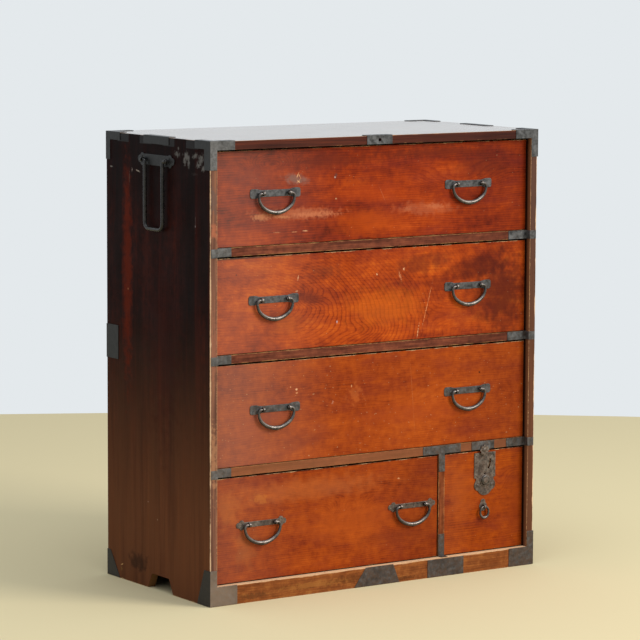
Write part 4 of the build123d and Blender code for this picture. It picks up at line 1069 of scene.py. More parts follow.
# %% A board's finish, built up in layers
class Board:
    """A wood material in the making: its place in mm, rings, fibres and the colour reached so far."""

    def __init__(self, name, grain, ring, tones, swirls=(), seed=0.0, depth=0.25, across=None, zone=(260, 90),
                 cloudy=2.2, tip=None, clear=None, rough=1.0):
        self.material, self.tree, self.shader = new_material(name)
        tree = self.tree
        self.place = place_in_mm(tree)
        self.axes = add(tree, "SeparateXYZ", (self.place,)).node.outputs
        self.rings = growth_rings(tree, self.place, grain, across or ACROSS[grain], ring, swirls, seed,
                                  tip=tip)
        if clear:
            clarity = spot(tree, self.place, *clear, ragged=0, soft=0.9)
            clarity = add(tree, "MapRange", {"Value": clarity, "To Min": 0.22})
            self.rings = add(tree, "Math", (self.rings, clarity), operation="MULTIPLY")
        self.fibres = streaks(tree, self.place, grain, 55, 1.6, 3.0, seed + 1)
        zones = streaks(tree, self.place, grain, *zone, 3.0, seed + 2)
        tone = add(tree, "Math", (zones, cloudy, 0.5 - 0.5 * cloudy), operation="MULTIPLY_ADD")
        tone = add(tree, "Math", (self.rings, -depth, tone), operation="MULTIPLY_ADD")
        fine = add(tree, "Math", (self.fibres, 0.45), operation="SUBTRACT")
        tone = add(tree, "Math", (fine, 0.9 * rough, tone), operation="MULTIPLY_ADD")
        mottle = add(tree, "TexNoise", {"Vector": self.place, "Scale": 1 / 17, "Detail": 4.0,
                                        "Roughness": 0.65})
        mottle = add(tree, "Math", (mottle, 0.5), operation="SUBTRACT")
        tone = add(tree, "Math", (mottle, 1.1 * rough, tone), operation="MULTIPLY_ADD")
        self.tone = tone
        self.skin = add(tree, "ValToRGB", (tone,), stops=tones)

    def mark(self, *marks, about=1):
        """Lays marks over the colour reached so far."""
        self.skin = marked(self.tree, self.skin, self.place, marks, about)

    def wear(self, distance, width, code, chance=0.5, size=22.0):
        """Rubs the lacquer off along an edge."""
        self.skin = worn(self.tree, self.skin, self.place, distance, width, code, chance, size)

    def shade(self, axis, start, end, code, strength):
        """Blends towards a colour from one place on an axis to another."""
        factor = add(self.tree, "MapRange", {"Value": self.axes[axis], "From Min": start, "From Max": end,
                                             "To Max": strength}, interpolation_type="SMOOTHSTEP")
        self.skin = add(self.tree, "Mix", {0: factor, UNDER: self.skin, OVER: colour(code)}, **COLOURS)

    def bare_behind(self, face, code_dark, code_light):
        """Keeps the skin on the front face, and shows bare wood in two tones behind it."""
        bare = add(self.tree, "ValToRGB", (self.tone,), stops=((0.1, code_dark), (0.9, code_light)))
        factor = add(self.tree, "MapRange", {"Value": self.axes["Y"], "From Min": face + 0.5,
                                             "From Max": face + 1.1})
        self.skin = add(self.tree, "Mix", {0: factor, UNDER: self.skin, OVER: bare}, **COLOURS)

    def finish(self, gloss=(0.30, 0.48), specular=0.06, relief=0.25, rounding=0.8):
        """Gives the shader the skin, an uneven gloss, and a relief of rings, fibres and rounded edges."""
        tree, shader = self.tree, self.shader
        tree.links.new(self.skin, shader.inputs["Base Color"])
        dull = add(tree, "TexNoise", {"Vector": self.place, "Scale": 1 / 60, "Detail": 3.0})
        dull = add(tree, "MapRange", {"Value": dull, "From Min": 0.3, "From Max": 0.7,
                                      "To Min": gloss[0], "To Max": gloss[1]})
        tree.links.new(dull, shader.inputs["Roughness"])
        shader.inputs["Specular IOR Level"].default_value = specular
        height = add(tree, "Math", (self.rings, -0.5, self.fibres), operation="MULTIPLY_ADD")
        edge = add(tree, "Bevel", {"Radius": rounding * MM}, samples=4)
        bump = add(tree, "Bump", {"Height": height, "Distance": 0.3 * MM, "Strength": relief,
                                  "Normal": edge})
        tree.links.new(bump, shader.inputs["Normal"])
        return self.material


def dress(material, *nodes):
    """Puts a material on CAD nodes."""
    for node in nodes:
        for slot in frame["nodes"][node].material_slots:
            slot.material = material
    print("finished:", ", ".join(nodes))


# %% [markdown]
# ## The drawer fronts
# Red-brown lacquer over softwood: warm, a little cloudy, darkest in the latewood. Each front's left end is
# painted paler and greyer as a painted sheen, and its right end darker as painted shade. Hands, keys and
# moving have left scuffs and chips that show the pale wood. Each front has its own material, because each
# board has its own figure and its own marks. A mark is an ellipsoid, given by its middle, its size in mm, its
# turn in degrees, its colour, its strength and how ragged its edge is.

# %% Lacquer on a front
CREAM = "#C9A57C"
SCUFF = "#B86A48"
SHEEN_PART = 0.42
SHADED_PART = 0.3


def lacquered_front(node, ring, tones, swirls, marks, seed, depth, painted_sheen=0.17, zone=(260, 90), cloudy=1.3,
                    tip=None, clear=None):
    """Rubbed lacquer on a drawer's front, with its own figure and marks; the rest of the board is bare."""
    low, high = (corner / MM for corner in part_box(node))
    wide = high.x - low.x
    board = Board(f"rubbed_lacquer_{node}", "X", ring, tones, swirls, seed, depth, zone=zone, cloudy=cloudy,
                  tip=tip, clear=clear, rough=0.78)
    stain = streaks(board.tree, board.place, "X", 110, 38, 3.0, seed + 4)
    stain = add(board.tree, "MapRange", {"Value": stain, "From Min": 0.46, "From Max": 0.72, "To Max": 0.42})
    board.skin = add(board.tree, "Mix", {0: stain, UNDER: board.skin, OVER: colour("#6A2220")}, **COLOURS)
    board.mark(*marks)
    # a darker band that comes and goes along the top and bottom edges of the front
    edge_darkening = distance_to(board.tree, board.axes["Z"], (low.z, high.z))
    board.wear(edge_darkening, 1.6, "#6A2A12", 0.40, 60.0)
    # painted sheen: the left end of every front is blended towards a pale grey, as a reflection of the bright
    # room
    board.shade("X", low.x + SHEEN_PART * wide, low.x, "#958C86", painted_sheen)
    # painted shade: the right end of every front is darkened, as shade from the frame at that end
    board.shade("X", high.x - SHADED_PART * wide, high.x, "#3C120A", 0.22)
    chips = streaks(board.tree, board.place, "X", 5, 2.6, 0.0, seed + 9)
    chips = add(board.tree, "MapRange", {"Value": chips, "From Min": 0.84, "From Max": 0.87, "To Max": 0.5})
    board.skin = add(board.tree, "Mix", {0: chips, UNDER: board.skin, OVER: colour(CREAM)}, **COLOURS)
    sides = distance_to(board.tree, board.axes["X"], (low.x, high.x))
    board.wear(sides, 0.7, "#A8693F", 0.45)
    board.wear(distance_to(board.tree, board.axes["Z"], (high.z,)), 1.1, CREAM, 0.45, 30.0)
    board.wear(distance_to(board.tree, board.axes["Z"], (low.z,)), 0.8, "#B98A58", 0.47, 30.0)
    # behind the face the board is bare, but for its top edge, which is painted near black as shade in the gap
    # under the rail
    top = add(board.tree, "MapRange", {"Value": board.axes["Z"], "From Min": high.z - 0.2,
                                       "From Max": high.z - 0.05})
    board.bare_behind(low.y, "#7E5A3A", "#B08A60")
    behind = add(board.tree, "MapRange", {"Value": board.axes["Y"], "From Min": low.y + 0.4,
                                          "From Max": low.y + 1.0})
    top = add(board.tree, "Math", (top, behind), operation="MULTIPLY")
    board.skin = add(board.tree, "Mix", {0: top, UNDER: board.skin, OVER: colour("#1E0F0A")}, **COLOURS)
    dress(board.finish(), node)


drawer_face_mm = round(drawer_face / MM, 3)


def on_front(x, z):
    """A place in mm on the face of a drawer's front."""
    return (x, drawer_face_mm, z)


# %% Drawer 1, the reddest
RED_TONES = ((0.0, "#4A1408"), (0.3, "#77260F"), (0.62, "#94350E"), (1.0, "#B24A16"))
lacquered_front("drawer_1_front", 5.5, RED_TONES, (
    (on_front(-272, 948), (95, 60, 34), 60.0), (on_front(230, 900), (160, 60, 50), 35.0),
), (
    (on_front(-201, 842), (140, 40, 16), 1, SCUFF, 0.55, 0.45),
    (on_front(-160, 838), (80, 40, 8), 1, "#C87A54", 0.5, 0.4),
    (on_front(-297, 838), (32, 40, 10), 0, "#D08A5C", 0.55, 0.5),
    (on_front(-245, 836), (26, 40, 5), 4, "#D08A5C", 0.5, 0.5),
    (on_front(140, 838), (110, 40, 20), 2, SCUFF, 0.32, 0.4),
    (on_front(165, 842), (36, 40, 8), 2, "#C87E58", 0.28, 0.5),
    (on_front(90, 838), (16, 40, 8), 0, "#C87E58", 0.3, 0.5),
    (on_front(-210, 916), (42, 40, 15), 8, "#806A62", 0.55, 0.35),
    (on_front(-205, 925), (1.5, 40, 9), 28, "#E0B080", 0.85, 0.5),
    (on_front(-200, 923), (1.5, 40, 8), -30, "#D8A070", 0.8, 0.5),
    (on_front(-203, 912), (1.4, 40, 8), 50, "#D8A070", 0.8, 0.5),
    (on_front(-202, 911), (1.4, 40, 7), -48, "#E0B080", 0.8, 0.5),
    (on_front(-105, 920), (5, 40, 8), 20, "#5E3A36", 0.8, 0.3),
    (on_front(-107, 917), (2.2, 40, 3), 0, "#C8B0A8", 0.9, 0.2),
    (on_front(-185, 803), (9, 40, 2.0), 3, "#D0A078", 0.9, 0.3),
    (on_front(-212, 802), (11, 40, 1.4), -2, "#C08058", 0.8, 0.4),
    (on_front(-258, 803), (14, 40, 1.4), 1, "#B87850", 0.7, 0.5),
    (on_front(-19, 815), (120, 40, 45), 0, "#B0480E", 0.55, 0.3),
    (on_front(10, 880), (150, 40, 30), -3, "#A83E10", 0.4, 0.3),
    (on_front(20, 875), (28, 40, 0.8), 64, "#B06A48", 0.6, 0.5),
    (on_front(-104, 870), (3.0, 40, 2.4), 0, CREAM, 0.7, 0.4),
    (on_front(300, 930), (110, 40, 40), 0, "#5A2014", 0.5, 0.35),
    (on_front(-120, 955), (190, 40, 26), 0, "#5E2012", 0.6, 0.4),
    (on_front(170, 962), (220, 40, 18), 0, "#5E2012", 0.6, 0.4),
    (on_front(-330, 925), (60, 40, 20), 0, "#6A2A22", 0.35, 0.5),
    (on_front(-60, 905), (60, 40, 16), -4, "#B2480E", 0.45, 0.4),
), 1.0, 0.2, zone=(220, 50), cloudy=1.6)

# %% Drawer 2, with the boldest figure
ORANGE_TONES = ((0.0, "#5A1E0C"), (0.3, "#8A3210"), (0.62, "#AE4814"), (1.0, "#CC641C"))
lacquered_front("drawer_2_front", 6.0, ORANGE_TONES, (
    (on_front(262, 600), (130, 60, 46), -48.0), (on_front(-170, 654), (70, 60, 24), 16.0),
    (on_front(-20, 575), (90, 60, 30), -14.0),
), (
    (on_front(32, 625), (150, 40, 62), 0, "#C4601A", 0.5, 0.3),
    (on_front(365, 610), (95, 40, 120), 0, "#561E10", 0.38, 0.25),
    (on_front(-230, 600), (60, 40, 30), 0, "#C4601A", 0.35, 0.4),
    (on_front(291, 700), (130, 40, 40), -8, "#4E1A12", 0.7, 0.35),
    (on_front(130, 715), (120, 40, 30), -6, "#5E2416", 0.55, 0.4),
    (on_front(-130, 712), (60, 40, 22), 0, "#6A2E1C", 0.5, 0.4),
    (on_front(-185, 655), (70, 40, 22), 0, "#702A18", 0.45, 0.4),
    (on_front(146, 622), (1.2, 40, 62), 15.5, "#D89060", 0.75, 0.9),
    (on_front(120, 560), (1.4, 40, 20), 10, "#E0A878", 0.8, 0.8),
    (on_front(80, 705), (3.4, 40, 5), 0, "#DDAA80", 0.9, 0.5),
    (on_front(70, 690), (3.0, 40, 14), -20, "#C88860", 0.6, 0.8),
    (on_front(7, 697), (2.6, 40, 3.4), 0, "#DDAA80", 0.9, 0.5),
    (on_front(-203, 700), (2.6, 40, 7), 8, "#DDAA80", 0.75, 0.6),
    (on_front(-207, 672), (5, 40, 2.4), 0, "#DDAA80", 0.6, 0.6),
    (on_front(-100, 598), (2.6, 40, 5), 0, "#B8A8B0", 0.85, 0.3),
    (on_front(-363, 716), (2.6, 40, 2.6), 0, "#3A120A", 0.9, 0.2),
    # painted shade: a black strip along the top edge at the left, where the gap under the rail is in shadow
    (on_front(-360, 753), (230, 40, 5.0), 0, "#0E0504", 0.95, 0.1),
    # painted shade: a dark patch at the right end of this front
    (on_front(350, 640), (110, 40, 110), 0, "#4A1812", 0.68, 0.4),
    (on_front(180, 660), (50, 40, 40), 0, "#6A2412", 0.4, 0.5),
    (on_front(-175, 655), (52, 40, 16), 12, "#5E2016", 0.55, 0.3),
), 2.0, 0.36, zone=(200, 90), cloudy=1.4, tip=(-262, 645, 13),
                clear=(on_front(-40, 625), (330, 60, 150), 8))

# %% Drawers 3 and 4
BROWN_TONES = ((0.0, "#5C200C"), (0.3, "#8A3610"), (0.62, "#A44814"), (1.0, "#BC5C1C"))
lacquered_front("drawer_3_front", 4.6, BROWN_TONES, (
    (on_front(30, 400), (300, 60, 70), 40.0),
), (
    (on_front(-206, 456), (3.6, 40, 3.2), 0, "#E8B488", 0.95, 0.4),
    (on_front(-206, 448), (4.6, 40, 2.2), -15, "#D89868", 0.9, 0.5),
    (on_front(-222, 462), (2.2, 40, 2.0), 0, "#D89868", 0.8, 0.4),
    (on_front(107, 414), (0.9, 40, 110), -5.1, "#B46A3C", 0.55, 0.6),
    (on_front(294, 457), (3.4, 40, 3.4), 0, "#3A160C", 0.9, 0.3),
    (on_front(-50, 434), (26, 40, 26), 0, "#B8602C", 0.5, 0.7),
    (on_front(-110, 420), (3, 40, 6), 20, "#B88068", 0.6, 0.6),
    (on_front(-60, 452), (2.2, 40, 4), 0, "#D8A070", 0.7, 0.4),
    (on_front(120, 380), (240, 40, 40), 0, "#A8481A", 0.35, 0.3),
    (on_front(-330, 380), (60, 40, 50), 0, "#A8481A", 0.3, 0.4),
    (on_front(-190, 340), (90, 40, 26), 0, "#7A3018", 0.35, 0.4),
), 3.0, 0.12, painted_sheen=0.22, cloudy=1.0)

lacquered_front("drawer_4_front", 4.2, BROWN_TONES, (
    (on_front(-62, 169), (80, 60, 50), 40.0),
), (
    (on_front(70, 233), (5, 40, 2.2), 10, "#D8A070", 0.85, 0.4),
    (on_front(-60, 150), (200, 40, 60), 0, "#B4541C", 0.45, 0.3),
    (on_front(-340, 120), (40, 40, 60), 0, "#A8602E", 0.4, 0.4),
    (on_front(40, 100), (120, 40, 22), 0, "#7E3416", 0.35, 0.4),
    (on_front(-170, 232), (280, 40, 36), 0, "#BC6A38", 0.36, 0.25),
    (on_front(-385, 205), (44, 40, 60), 0, "#B86428", 0.45, 0.35),
    (on_front(-300, 222), (30, 40, 14), 10, "#C4742C", 0.4, 0.5),
    # painted shade: a black strip along the top edge, where the gap under the rail is in shadow
    (on_front(-120, 275), (310, 40, 3.0), 0, "#140806", 0.85, 0.1),
), 4.0, 0.16, painted_sheen=0.10, cloudy=0.9)

# %% The safe drawer, with painted shade behind its keyhole
SAFE_TONES = ((0.0, "#561E08"), (0.3, "#86340A"), (0.62, "#9E440C"), (1.0, "#B65810"))
lacquered_front("safe_drawer_front", 5.0, SAFE_TONES, (
    (on_front(357, 156), (60, 60, 90), 50.0),
), (
    (on_front(250, 180), (60, 40, 80), 0, "#AE521A", 0.45, 0.3),
    (on_front(400, 120), (26, 40, 70), 0, "#8A3410", 0.4, 0.3),
    # painted shade: near black on the front where it shows through the keyhole
    (on_front(KEY_X / MM, KEY_Z / MM), (18, 8, 36), 0, "#050302", 1.0, 0.0),
), 5.0, 0.22, painted_sheen=0.03, cloudy=1.0)

# %% [markdown]
# ## The sides
# The side boards stand with their grain upright. Their lacquer has darkened almost to black, with red
# showing through in streaks, and it is worn browner towards the floor. Their front edges, the stiles, are
# rubbed brown, with bare wood along both arrises, and the wood inside was never lacquered.

# %% Side boards: dark lacquer outside
inner_left = case_high.x / MM
outer = -LEFT / MM
front_mm, top_mm = FRONT / MM, TOP / MM
board = Board("darkened_lacquer_side_boards", "Z", 6.5,
              ((0.0, "#140908"), (0.4, "#1E0D0B"), (0.7, "#2A100D"), (1.0, "#3A150E")),
              seed=11.0, depth=0.25, zone=(420, 60))
tree = board.tree
red = streaks(tree, board.place, "Z", 700, 26, 3.0, 13.0)
red = add(tree, "MapRange", {"Value": red, "From Min": 0.5, "From Max": 0.78, "To Max": 0.6})
board.skin = add(tree, "Mix", {0: red, UNDER: board.skin, OVER: colour("#4C160C")}, **COLOURS)
board.shade("Z", 660.0, 60.0, "#784A30", 0.7)
board.shade("Z", 760.0, 960.0, "#070405", 0.6)
low_rub = streaks(tree, board.place, "Z", 240, 9, 4.0, 17.0)
low_rub = add(tree, "MapRange", {"Value": low_rub, "From Min": 0.52, "From Max": 0.74, "To Max": 0.35})
lower = add(tree, "MapRange", {"Value": board.axes["Z"], "From Min": 520.0, "From Max": 60.0})
low_rub = add(tree, "Math", (low_rub, lower), operation="MULTIPLY")
board.skin = add(tree, "Mix", {0: low_rub, UNDER: board.skin, OVER: colour("#7C4A2C")}, **COLOURS)
dark_run = streaks(tree, board.place, "Z", 420, 24, 4.0, 19.0)
dark_run = add(tree, "MapRange", {"Value": dark_run, "From Min": 0.45, "From Max": 0.8, "To Max": 0.5})
board.skin = add(tree, "Mix", {0: dark_run, UNDER: board.skin, OVER: colour("#1E1010")}, **COLOURS)
print("the lacquer of the side boards is", len(tree.nodes), "nodes")


# %% Side boards: marks on the left outside
def on_left(y, z):
    """A place in mm on the outside of the left board."""
    return (LEFT / MM, y, z)


FLAKE = "#6E6C6C"
board.mark(
    (on_left(128, 700), (40, 28, 340), 0, "#641E06", 0.75, 0.3),
    (on_left(-30, 560), (40, 90, 300), 0, "#38120E", 0.35, 0.5),
    (on_left(85, 50), (40, 56, 26), 0, "#241A16", 0.6, 0.5),
    (on_left(-122, 969), (40, 15, 14), 0, FLAKE, 0.85, 0.45),
    (on_left(-131, 958), (40, 6, 18), 0, FLAKE, 0.8, 0.4),
    (on_left(-115, 957), (40, 8, 10), 0, FLAKE, 0.75, 0.45),
    (on_left(-84, 972), (40, 14, 8), 10, FLAKE, 0.65, 0.6),
    (on_left(-89, 985), (40, 4, 5), 0, FLAKE, 0.7, 0.3),
    (on_left(-158, 973), (40, 15, 7), -20, FLAKE, 0.8, 0.5),
    (on_left(-180, 965), (40, 19, 12), -30, FLAKE, 0.8, 0.5),
    (on_left(-172, 953), (40, 15, 6), -20, FLAKE, 0.8, 0.5),
    (on_left(-191, 947), (40, 12, 8), -20, FLAKE, 0.85, 0.4),
    (on_left(-157, 933), (40, 14, 4), 0, "#3A3232", 0.5, 0.7),
    (on_left(196, 929), (40, 7, 2.4), 0, "#9A9490", 0.8, 0.4),
    (on_left(106, 927), (40, 3, 5), 0, "#8A7C78", 0.7, 0.6),
    (on_left(82, 926), (40, 12, 2.0), 12, "#A89C94", 0.85, 0.6),
    (on_left(118, 910), (40, 1.6, 16), 0, "#6A5850", 0.5, 0.7),
    (on_left(-158, 832), (40, 0.9, 22), 0, "#6A5E5C", 0.7, 0.6),
    (on_left(-158, 821), (40, 2.4, 3.4), 0, "#8A8080", 0.8, 0.4),
    (on_left(125, 661), (40, 3, 3), 0, "#B07850", 0.7, 0.5),
    (on_left(41, 193), (40, 4, 2), 0, "#9A7A70", 0.6, 0.5),
    (on_left(1, 159), (40, 2.4, 2.4), 0, "#A88870", 0.7, 0.4),
    (on_left(155, 33), (40, 9, 1.5), -22, "#E0B074", 0.95, 0.3),
    (on_left(157, 22), (40, 4, 6), 0, "#8A6A3A", 0.6, 0.6),
    about=0,
)
board.wear(distance_to(tree, board.axes["Z"], (0.0,)), 1.4, "#9A7A50", 0.5, 20.0)
board.wear(distance_to(tree, board.axes["Y"], (front_mm,)), 1.3, "#B89478", 0.52, 60.0)
outside = board.skin
print("with its marks and wear it is", len(tree.nodes))

# %% Side boards: the stiles, which are their front edges
STILE_MIDDLE = -431
stile = streaks(tree, board.place, "Z", 160, 5, 4.0, 21.0)
stile = add(tree, "ValToRGB", (stile,),
            stops=((0.25, "#50362E"), (0.5, "#765244"), (0.62, "#865C4A"), (0.8, "#9C6A4A")))
stile = marked(tree, stile, board.place, (
    ((STILE_MIDDLE, front_mm, 815), (14, 14, 24), 0, "#B06A4E", 0.7, 0.6),
    ((STILE_MIDDLE, front_mm, 880), (14, 14, 40), 0, "#60524E", 0.6, 0.6),
    ((STILE_MIDDLE, front_mm, 560), (14, 14, 90), 0, "#9A6450", 0.5, 0.6),
    ((STILE_MIDDLE, front_mm, 320), (14, 14, 90), 0, "#AC7C5C", 0.65, 0.6),
))
side = add(tree, "Math", (board.axes["X"],), operation="ABSOLUTE")
at_outer = add(tree, "Math", (outer, side), operation="SUBTRACT")
at_inner = distance_to(tree, side, (-inner_left,))
right_side = add(tree, "MapRange", {"Value": board.axes["X"], "From Min": 0.0, "From Max": 1.0,
                                    "To Max": 0.8})
low_right = add(tree, "MapRange", {"Value": board.axes["Z"], "From Min": 820.0, "From Max": 420.0})
right_tone = add(tree, "Mix", {0: low_right, UNDER: colour("#4A3630"), OVER: colour("#5C3926")}, **COLOURS)
stile = add(tree, "Mix", {0: right_side, UNDER: stile, OVER: right_tone}, **COLOURS)
stile = worn(tree, stile, board.place, at_outer, 1.1, "#E6C4A0", 0.62, 60.0)
stile = worn(tree, stile, board.place, at_inner, 0.7, "#C8A070", 0.44, 34.0)
stile = worn(tree, stile, board.place, at_inner, 1.4, "#B08A66", 0.44, 7.0)
print("with the stiles it is", len(tree.nodes))

# %% Side boards: bare inside, and all of it put together
bare = add(tree, "ValToRGB", (board.tone,), stops=((0.1, "#5A3A2A"), (0.9, "#8A5E44")))
# on the inside of the front edge: painted shade, near black beside the drawer faces and fading into the bare
# wood behind them, and rubbed brown at the front edge
lip = add(tree, "MapRange", {"Value": board.axes["Y"], "From Min": front_mm + 34.0,
                             "From Max": front_mm + 16.0})
bare = add(tree, "Mix", {0: lip, UNDER: bare, OVER: colour("#1C0E0A")}, **COLOURS)
lip = add(tree, "MapRange", {"Value": board.axes["Y"], "From Min": front_mm + 14.0,
                             "From Max": front_mm + 6.0})
bare = add(tree, "Mix", {0: lip, UNDER: bare, OVER: colour("#7C543C")}, **COLOURS)
# the outside lies over the bare wood and the sawn foot, and the stile over both
at_outside = add(tree, "MapRange", {"Value": side, "From Min": outer - 0.9, "From Max": outer - 0.5})
sawn = add(tree, "MapRange", {"Value": board.axes["Z"], "From Min": 43.0, "From Max": 38.0})
sawn = add(tree, "Mix", {0: sawn, UNDER: bare, OVER: colour("#7A5634")}, **COLOURS)
skin = add(tree, "Mix", {0: at_outside, UNDER: sawn, OVER: outside}, **COLOURS)
in_front = add(tree, "MapRange", {"Value": board.axes["Y"], "From Min": front_mm + 0.9,
                                  "From Max": front_mm + 0.4})
skin = add(tree, "Mix", {0: in_front, UNDER: skin, OVER: stile}, **COLOURS)
# the ends of the fingers lie in the top and share its polish
level = add(tree, "MapRange", {"Value": board.axes["Z"], "From Min": top_mm - 0.6, "From Max": top_mm - 0.2})
board.skin = add(tree, "Mix", {0: level, UNDER: skin, OVER: colour("#584034")}, **COLOURS)
tree.links.new(level, board.shader.inputs["Coat Weight"])
board.shader.inputs["Coat Roughness"].default_value = 0.13
dress(board.finish(gloss=(0.34, 0.5), specular=0.02, relief=0.3), "left_side_panel", "right_side_panel")

# %% [markdown]
# ## The top board
# Seen from low down the top is a mirror of the sky: the same lacquer, but level, polished by cloths and
# never scuffed by drawers. A clear coat with its own low roughness gives that sheen, over a brown that is
# dusty and also painted paler and greyer as part of the sheen.

# %% Top board
# dusty brown tones, painted paler and greyer as part of the top's sheen
board = Board("polished_lacquer_top_board", "X", 6.0,
              ((0.0, "#4A3429"), (0.4, "#5C4336"), (0.75, "#6C5142"), (1.0, "#80604C")), seed=31.0, depth=0.1,
              across=ACROSS["TOP"], cloudy=1.0)
tree = board.tree
board.mark(
    ((-180, 40, top_mm), (150, 60, 30), 0, "#806A5A", 0.4, 0.6),
    ((200, -40, top_mm), (120, 80, 30), 0, "#7C6656", 0.35, 0.6),
)
board.wear(distance_to(tree, board.axes["X"], (-outer, outer)), 1.6, "#A07850", 0.5)
board.wear(distance_to(tree, board.axes["Y"], (front_mm,)), 1.4, "#A8805A", 0.5)
top_skin = board.skin
# the edge in front is red lacquer, darker towards the right
edge = streaks(tree, board.place, "X", 180, 5, 4.0, 33.0)
edge = add(tree, "ValToRGB", (edge,),
           stops=((0.25, "#301612"), (0.5, "#4C241A"), (0.65, "#642E1E"), (0.85, "#8A4A2C")))
far_end = add(tree, "MapRange", {"Value": board.axes["X"], "From Min": -150.0, "From Max": 420.0,
                                 "To Max": 0.62})
edge = add(tree, "Mix", {0: far_end, UNDER: edge, OVER: colour("#26100E")}, **COLOURS)
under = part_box("top_board")[0].z / MM
below_top = distance_to(tree, board.axes["Z"], (top_mm,))
edge = worn(tree, edge, board.place, below_top, 1.2, "#9C6C44", 0.42, 30.0)
above_underside = distance_to(tree, board.axes["Z"], (under,))
edge = worn(tree, edge, board.place, above_underside, 1.0, "#A87850", 0.4, 30.0)
is_top = add(tree, "MapRange", {"Value": board.axes["Z"], "From Min": top_mm - 0.9, "From Max": top_mm - 0.4})
board.skin = add(tree, "Mix", {0: is_top, UNDER: edge, OVER: top_skin}, **COLOURS)
below = add(tree, "MapRange", {"Value": board.axes["Z"], "From Min": under + 0.6, "From Max": under + 0.2})
board.skin = add(tree, "Mix", {0: below, UNDER: board.skin, OVER: colour("#3A261C")}, **COLOURS)
# the finger ends show in the sides, as dark as the lacquer there
side = add(tree, "Math", (board.axes["X"],), operation="ABSOLUTE")
ends = add(tree, "MapRange", {"Value": side, "From Min": outer - 0.7, "From Max": outer - 0.3})
lower = add(tree, "Math", (1.0, is_top), operation="SUBTRACT")
ends = add(tree, "Math", (ends, lower), operation="MULTIPLY")
board.skin = add(tree, "Mix", {0: ends, UNDER: board.skin, OVER: colour("#120C0C")}, **COLOURS)
tree.links.new(is_top, board.shader.inputs["Coat Weight"])
board.shader.inputs["Coat Roughness"].default_value = 0.13
board.shader.inputs["Coat IOR"].default_value = 1.68
dress(board.finish(gloss=(0.28, 0.4), specular=0.1, relief=0.05), "top_board")

# %% [markdown]
# ## Rails, divider and plinth
# The narrow members take the knocks: purple-brown lacquer, rubbed through to pale wood along the arrises.
# The plinth, nearest to the feet and the wet floor, has lost most of its red and is mottled golden brown.

# %% Rails
def member(name, node, grain, tones, edges, axis, seed, rub, zone=(150, 9), cloudy=1.5):
    """A narrow lacquered member whose arrises, at the given places on an axis, are rubbed pale."""
    face = (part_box(node)[0] / MM).y
    board = Board(name, grain, 5.0, tones, seed=seed, depth=0.12, zone=zone, cloudy=cloudy)
    distance = distance_to(board.tree, board.axes[axis], edges)
    board.wear(distance, 1.8, "#8A5A40", 0.42, 30.0)
    board.wear(distance, 0.7, rub, 0.45, 24.0)
    board.bare_behind(face, "#3A2418", "#5E4028")
    return board


RAIL_ARRISES = (757, 776, 525, 544, 279, 298)
board = member("rubbed_lacquer_rails", "drawer_rails", "X",
               ((0.0, "#3A1C14"), (0.35, "#582E22"), (0.65, "#703C2C"), (1.0, "#8A4E36")),
               RAIL_ARRISES, "Z", 41.0, "#C0905C")
board.shade("Z", 520.0, 260.0, "#96603E", 0.55)
board.shade("X", 100.0, 430.0, "#3A1A14", 0.3)
dress(board.finish(), "drawer_rails")

# %% Divider
DIVIDER_ARRISES = (179.5, 196.0)
board = member("rubbed_lacquer_divider", "divider_panel", "Z",
               ((0.0, "#46200F"), (0.35, "#643018"), (0.65, "#7C4226"), (1.0, "#985430")),
               DIVIDER_ARRISES, "X", 43.0, "#B88450")
dress(board.finish(), "divider_panel")

# %% Plinth
PLINTH_TOP = 43.0
board = member("worn_lacquer_plinth", "front_plinth_rail", "X",
               ((0.0, "#5A2E16"), (0.3, "#744020"), (0.6, "#8C5028"), (1.0, "#AA7038")),
               (0.0,), "Z", 47.0, "#B08450", zone=(90, 16), cloudy=0.8)
plinth_face = (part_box("front_plinth_rail")[0] / MM).y
top_line = distance_to(board.tree, board.axes["Z"], (PLINTH_TOP,))
board.wear(top_line, 1.4, "#C89A74", 0.66, 60.0)
board.wear(top_line, 0.8, "#E0BC94", 0.56, 16.0)
board.mark(
    ((-60, plinth_face, 22), (90, 40, 12), 0, "#5A3218", 0.6, 0.6),
    ((-330, plinth_face, 14), (60, 40, 8), 0, "#5E3A20", 0.6, 0.6),
    ((60, plinth_face, 8), (70, 40, 6), 0, "#4A2A18", 0.6, 0.6),
    ((330, plinth_face, 20), (60, 40, 10), 0, "#6A3416", 0.5, 0.6),
    ((-180, plinth_face, 20), (120, 40, 10), 0, "#A06A34", 0.5, 0.5),
)
dress(board.finish(), "front_plinth_rail")

# %% [markdown]
# ## Wood that was never lacquered
# Bottoms, backs and drawer sides are plain cedar and paulownia, light when new and tanned by a century of
# air. The back of the chest is darker and dustier than the insides of the drawers.

# %% Plain wood
PAULOWNIA = ((0.0, "#8A6642"), (0.4, "#A17C54"), (0.7, "#B28D64"), (1.0, "#C4A078"))
CEDAR = ((0.0, "#3E2A1E"), (0.4, "#5C4230"), (0.7, "#735540"), (1.0, "#8C6A50"))
OLD_CEDAR = ((0.0, "#241812"), (0.4, "#36261C"), (0.7, "#463224"), (1.0, "#5A4230"))
lengthwise = Board("plain_paulownia_lengthwise", "X", 6.0, PAULOWNIA, seed=51.0, depth=0.35)
depthwise = Board("plain_paulownia_depthwise", "Y", 6.0, PAULOWNIA, seed=57.0, depth=0.35)
weathered = Board("weathered_cedar", "Z", 8.0, CEDAR, seed=61.0, depth=0.35, zone=(300, 60))
bottom = Board("plain_cedar_lengthwise", "X", 7.0, OLD_CEDAR, seed=67.0, depth=0.35)
for board in (lengthwise, depthwise, weathered, bottom):
    board.finish(gloss=(0.55, 0.75), specular=0.3, relief=0.5)
dress(weathered.material, "back_boards")
dress(bottom.material, "back_plinth_rail", "bottom_board", "dust_boards")
